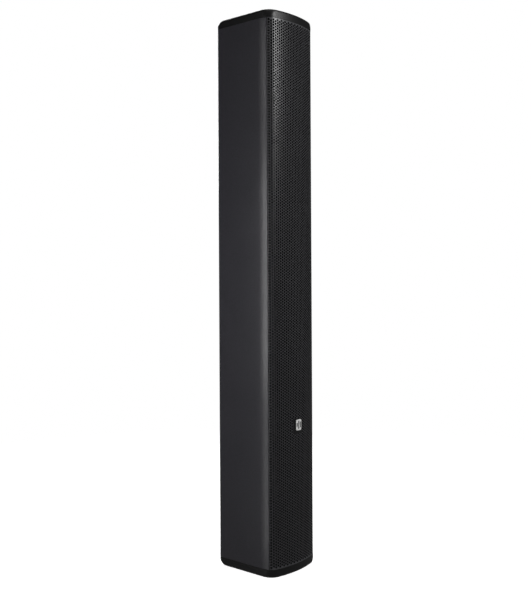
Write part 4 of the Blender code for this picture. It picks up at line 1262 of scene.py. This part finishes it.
def make_crossover():
    fill_room("crossover_panel", "board_laminate", "crossover_board", 0.0003)
    for number in (1, 2):
        middle, (_, deep, _), matrix = room(f"crossover_inductor_{number}")
        bobbin = turned(eased([
            (0.008, 0.0), (0.019, 0.0), (0.019, 0.0008), (0.0088, 0.0008), (0.0088, deep - 0.0008),
            (0.019, deep - 0.0008), (0.019, deep), (0.008, deep)], 0.0003, 2), 48)
        finished(f"coil_former_{number}", "switch_plastic", bobbin, matrix, f"crossover_inductor_{number}",
                 slot="coil_copper")
        start = matrix.translation.y - 0.0016
        for layer in range(COIL_LAYERS):
            winding = HELIX.build(
                f"coil_{number}_layer_{layer + 1}", "coil_copper", Turns=9.0, Radius=0.0096 + layer * 0.00132,
                Height=deep - 0.0032, Wire=0.00064, Sides=8, Steps=22, Place=(middle.x, start, middle.z),
                Facing=TURN_FRONT)
            done(smooth(winding, 60), "coil_copper")
    middle, (wide, _, tall), _ = room("crossover_capacitor")
    can = [(0.0, -tall / 2), (wide / 2, -tall / 2), (wide / 2, tall / 2), (0.0, tall / 2)]
    finished("film_capacitor", "capacitor_film", turned(eased(can, 0.0015, 5), 48),
             Matrix.Translation(middle), "crossover_capacitor")


def make_transformer():
    _, (wide, deep, tall), matrix = room("line_transformer")
    finished("transformer_core", "core_steel", softened(wide, tall, 0.0015, 0.007, deep - 0.007, 0.0004, 2),
             matrix, "line_transformer")
    for name, low, high in (("winding_front", deep - 0.0072, deep), ("winding_rear", 0.0, 0.0072)):
        levels = []
        for n in range(7):
            share = n / 6
            bulge = 0.002 * (share if high == deep else 1 - share) ** 3
            levels.append((low + (high - low) * share,
                           rounded(0.040 - 2 * bulge, 0.046 - 2 * bulge, 0.004 - bulge)))
        finished("transformer_" + name, "winding_tape", stack(*levels), matrix, slot="core_steel")


def make_damping_pad():
    """Wadding against the rear wall, whose face swells and dips between its edges."""
    low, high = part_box("damping_foam")
    wide, deep, tall = high - low
    across, up = 26, 96
    shape = bmesh.new()

    def point(i, k, front):
        u, v = i / across, k / up
        edge = min(1.0, 8 * min(u, 1 - u), 26 * min(v, 1 - v))
        swell = 0.62 + 0.30 * edge**0.5 + 0.06 * math.sin(19 * u + 5 * v) * math.sin(47 * v)
        y = high.y - (deep * swell if front else 0.0)
        return shape.verts.new((low.x + wide * u, y, low.z + tall * v))

    front, back = [[[point(i, k, side) for i in range(across + 1)] for k in range(up + 1)]
                   for side in (True, False)]
    for grid in (front, back):
        for k in range(up):
            for i in range(across):
                shape.faces.new((grid[k][i], grid[k][i + 1], grid[k + 1][i + 1], grid[k + 1][i]))
    rim = [(0, i) for i in range(across)] + [(k, across) for k in range(up)]
    rim += [(up, i) for i in range(across, 0, -1)] + [(k, 0) for k in range(up, 0, -1)]
    for (k, i), (k2, i2) in zip(rim, rim[1:] + rim[:1]):
        shape.faces.new((front[k][i], front[k2][i2], back[k2][i2], back[k][i]))
    pad = finished("damping_pad", "wadding", shape, None, "damping_foam", slot="acoustic_foam", angle_deg=50,
                   cut=[bore(0.0095, 24, front_matrix(0, high.y, INSERT_ZS[1]), -0.03)])


def smooth_route(points, per_span=4):
    """Points on a Catmull-Rom curve through the given ones."""
    ends = [points[0], *points, points[-1]]
    route = []
    for span in zip(ends, ends[1:], ends[2:], ends[3:]):
        for n in range(per_span):
            t = n / per_span
            route.append(tuple(
                0.5 * (2 * q + (r - p) * t + (2 * p - 5 * q + 4 * r - s) * t**2
                       + (3 * q - p - 3 * r + s) * t**3)
                for p, q, r, s in zip(*span)))
    return route + [points[-1]]


def make_loom():
    path = hidden_curve("loom_route", smooth_route(LOOM_POINTS))
    tie = hidden("cable_tie", turned(eased([
        (0.0024, -0.0012), (0.0031, -0.0012), (0.0031, 0.0012), (0.0024, 0.0012)], 0.0002, 2), 20))
    loom = LOOM.build("wiring", "wire_jacket", Route=path, Tie=tie, Lay=0.045, Spread=0.00125,
                      Wire=0.00105, Tie_Spacing=0.075)
    done(smooth(loom, 50), "wire_jacket", "wiring_loom")


# ---- Rear dish ----


def make_dish():
    matrix = rear_matrix(0, REAR_Y, DISH_Z)
    wide, tall = DISH_OPENING
    outside = rounded(wide + 2 * DISH_WALL, tall + 2 * DISH_WALL, 0.005)
    collar = rounded(DISH_CUTOUT[0] - 0.0008, DISH_CUTOUT[1] - 0.0008, 0.0036)
    flange = prism(rounded(*DISH_FLANGE, 0.004), -WALL - SHEET_GAP - 0.0025, -WALL - SHEET_GAP)
    levels = []
    fillet = 0.003
    for n in range(7):
        angle = math.pi / 2 * n / 6
        shrink = 2 * fillet * (1 - math.sin(angle))
        levels.append((-DISH_DEPTH + fillet * (1 - math.cos(angle)),
                       rounded(wide - shrink, tall - shrink, 0.0045)))
    levels.append((-0.0009, rounded(wide, tall, 0.0045)))
    levels.append((0.0021, rounded(wide + 0.003, tall + 0.003, 0.006)))
    cuts = [(stack(*levels), matrix)]
    cuts += [bore(0.0123, 48, rear_matrix(x, DISH_FLOOR_Y, SOCKET_Z)) for x in SOCKET_XS]
    cuts.append(bore(0.0034, 24, rear_matrix(0, DISH_FLOOR_Y, KNOB_Z)))
    finished("connection_dish", "dish_plastic",
             stack((-DISH_DEPTH - DISH_WALL, outside), (-0.010, outside), (-SHEET_GAP, collar)), matrix,
             "input_dish", angle_deg=32, join=[(flange, matrix)], cut=cuts)
    screw = socket_screw("dish_screw", 0.003, 0.0016, 0.0014, 0.006, countersunk=True)
    add_screws("dish_fasteners", screw, [(x, REAR_Y - 0.0002, z) for x, z in DISH_SCREWS], TURN_REAR, 5)
    small = socket_screw("socket_screw", 0.0019, 0.0012, 0.0009, 0.005)
    places = [(x + sign * 0.010, DISH_FLOOR_Y + SHEET_GAP + 0.0025, SOCKET_Z + sign * 0.0122)
              for x in SOCKET_XS for sign in (-1, 1)]
    add_screws("socket_fasteners", small, places, TURN_REAR, 9)


def make_sockets():
    face = SHEET_GAP + 0.0025
    contact = hidden("contact_strip", softened(0.0022, 0.006, 0.0004, -0.0002, 0.0005, 0.0002, 2),
                     Matrix.Rotation(math.pi / 2, 4, "Y"))
    post = eased([(0.0, -0.017), (0.0048, -0.017), (0.0048, -0.004), (0.0022, -0.004), (0.0022, -0.008),
                  (0.0, -0.008)], 0.0005, 3)
    notch = rounded(0.0024, 0.003, 0.0006, (0.0, 0.0106), 3)
    for number, x in enumerate(SOCKET_XS, 1):
        matrix = rear_matrix(x, DISH_FLOOR_Y, SOCKET_Z)
        socket = new_piece(f"socket_{number}", softened(0.026, 0.031, 0.004, SHEET_GAP, face, 0.0006, 3),
                           "socket_plastic", matrix)
        combine(socket, [bore(0.0119, 64, matrix, -0.022, SHEET_GAP + 0.001)], "UNION")
        well = ((-0.015, 0.0103), (face - 0.0006, 0.0103), (face + 0.002, 0.0129))
        cuts = [(stack(*[(z, circle(radius, 64)) for z, radius in well]), matrix)]
        cuts += [(prism(notch, -0.012, 0.01), matrix @ Matrix.Rotation(math.radians(turn), 4, "Z"))
                 for turn in (20, 130, 200, 310)]
        combine(socket, cuts)
        combine(socket, [(turned(post, 48), matrix)], "UNION")
        done(smooth(socket, 32), "socket_plastic", f"speaker_socket_{number}")
        add_ring(f"socket_{number}_contacts", "contact_brass", contact, 4, 0.0048, 45, 90,
                 (x, DISH_FLOOR_Y - 0.0085, SOCKET_Z), "insert_steel")


def make_tap():
    matrix = rear_matrix(0, DISH_FLOOR_Y, KNOB_Z)
    fill_room("tap_switch_body", "switch_plastic", "tap_switch", cut=[bore(0.0034, 24, matrix, -0.016)])
    seat, top = 0.001, 0.013
    knob = turned(eased([
        (0.0, top), (0.007, top), (0.0078, top - 0.0006), (0.0092, top - 0.0006), (0.010, top - 0.0016),
        (0.0103, seat + 0.003), (0.011, seat + 0.0022), (0.011, seat), (0.003, seat), (0.003, -0.015),
        (0.0, -0.015)], 0.0005, 3), 72)
    finished("tap_knob_core", "knob_plastic", knob, matrix, "tap_knob", body="power_tap")
    upright = Matrix.Rotation(math.pi / 2, 4, "Y") @ Matrix.Rotation(math.pi / 2, 4, "Z")
    rib = hidden("knob_rib", softened(0.001, 0.008, 0.0004, -0.0006, 0.0004, 0.0003, 2), upright)
    add_ring("tap_knob_ribs", "knob_plastic", rib, 30, 0.0102, 0, 12, (0, DISH_FLOOR_Y + 0.0078, KNOB_Z),
             "knob_plastic", body="power_tap")
    pointer = softened(0.0016, 0.008, 0.0007, top - 0.0008, top + 0.0006, 0.0004, 3)
    finished("tap_knob_pointer", "mark_white", pointer, matrix @ Matrix.Translation((0, 0.006, 0)),
             slot="knob_plastic", body="power_tap")
    tick = hidden("dial_tick", softened(0.0026, 0.0006, 0.0002, 0.0, 0.00015, 0.00005, 1))
    add_ring("dial_ticks", "mark_white", tick, 5, 0.0148, 30, 30, (0, DISH_FLOOR_Y, KNOB_Z), "dish_plastic",
             angle_deg=0)
    make_dial_numbers(matrix)


def make_dial_numbers(matrix):
    """The tap positions, 1 to 5, printed round the knob."""
    for number in range(1, 6):
        angle = math.radians(90 - 30 * number)
        text = bpy.data.curves.new(f"dial_number_{number}", "FONT")
        text.body = str(number)
        text.size = 0.005
        text.extrude = 0.00006
        text.resolution_u = 3
        text.align_x = text.align_y = "CENTER"
        maker = add_object("dial_text", text)
        mesh = real_mesh(maker)
        bpy.data.objects.remove(maker)
        place = Matrix.Translation((0.019 * -math.sin(angle), 0.019 * math.cos(angle), 0.00007))
        mesh.transform(matrix @ place)
        mesh.materials.clear()
        mesh.materials.append(FINISHES["mark_white"])
        done(add_object(f"dial_number_{number}", mesh), "dish_plastic")


def make_inserts():
    profile = eased([
        (INSERT_BORE, -0.0002), (INSERT_FLANGE_RADIUS, -0.0002), (INSERT_FLANGE_RADIUS, -0.0012),
        (INSERT_BODY_RADIUS, -0.0012), (INSERT_BODY_RADIUS, -0.016), (0.0, -0.016), (0.0, -0.014),
        (INSERT_BORE, -0.014)], 0.0003, 2)
    for word, z in zip(("lower", "upper"), INSERT_ZS):
        finished(f"bracket_insert_{word}", "insert_steel", turned(profile, 48), rear_matrix(0, REAR_Y, z),
                 f"wall_insert_{word}")
        thread = HELIX.build(
            f"insert_thread_{word}", "insert_steel", Turns=9.5, Radius=INSERT_BORE, Height=0.012,
            Wire=0.00035, Sides=6, Steps=24, Place=(0, REAR_Y - 0.013, z), Facing=TURN_REAR)
        done(smooth(thread, 60), "insert_steel")


# ---- Studio ----


def make_floor():
    shape = bmesh.new()
    rings = [[shape.verts.new((x, y, FLOOR_Z)) for x, y in circle(radius, 96)]
             for radius in (0.3, 0.7, 1.2, FLOOR_RADIUS)]
    shape.faces.new(rings[0])
    for inner, outer in zip(rings, rings[1:]):
        for n in range(96):
            after = (n + 1) % 96
            shape.faces.new((inner[n], outer[n], outer[after], inner[after]))
    floor = new_piece("studio_floor", shape)
    floor.data.materials.append(pale_floor())
    floor.visible_diffuse = False
    floor.visible_glossy = False


def make_lights():
    for name, place, target, size, power in LIGHTS:
        lamp = bpy.data.lights.new(name, "AREA")
        lamp.shape = "RECTANGLE"
        lamp.size, lamp.size_y = size
        lamp.energy = power
        light = add_object(name, lamp)
        light.location = place
        light.rotation_euler = (Vector(target) - Vector(place)).to_track_quat("-Z", "Y").to_euler()


def make_world():
    """White to the eye, and to the object a soft grey room that is lighter below."""
    world = bpy.data.worlds.new("studio")
    world.use_nodes = True
    bpy.context.scene.world = world
    studio = TreeMaker(world.node_tree)
    background = world.node_tree.nodes["Background"]
    seen = studio.node("ShaderNodeLightPath", output="Is Camera Ray")
    upward = studio.part(studio.node("ShaderNodeTexCoord", output="Generated"), "Z")
    below = studio.node("ShaderNodeMapRange", sockets={"Value": upward, "From Min": 0.05, "From Max": -0.35})
    level = below * FLOOR_BOUNCE + ROOM_LEVEL
    strength = seen * (1.0 - level) + level
    world.node_tree.links.new(strength.socket, background.inputs["Strength"])
    background.inputs["Color"].default_value = (1, 1, 1, 1)


def make_camera():
    camera = bpy.data.cameras.new("studio_camera")
    eye = add_object("studio_camera", camera)
    eye.location = CAMERA_PLACE
    level = Matrix.Rotation(-math.radians(CAMERA_TURN_DEG), 4, "Z") @ FACING_FRONT
    eye.rotation_euler = (level @ Matrix.Rotation(CAMERA_ROLL, 4, "Z")).to_euler()
    camera.sensor_width = 36.0
    camera.lens = CAMERA_LENS
    camera.shift_y = CAMERA_SHIFT
    camera.clip_start = 0.02
    bpy.context.scene.camera = eye


for make in (make_body, make_caps, make_grille, make_grille_foam, make_badge, make_baffle, make_woofers,
             make_horn, make_hf_driver, make_ports, make_crossover, make_transformer, make_damping_pad,
             make_loom, make_dish, make_sockets, make_tap, make_inserts):
    make()
for helper in HELPERS:
    bpy.data.objects.remove(helper)
for make in (make_floor, make_world, make_camera, make_lights):
    make()
bpy.context.scene.view_settings.view_transform = "Standard"
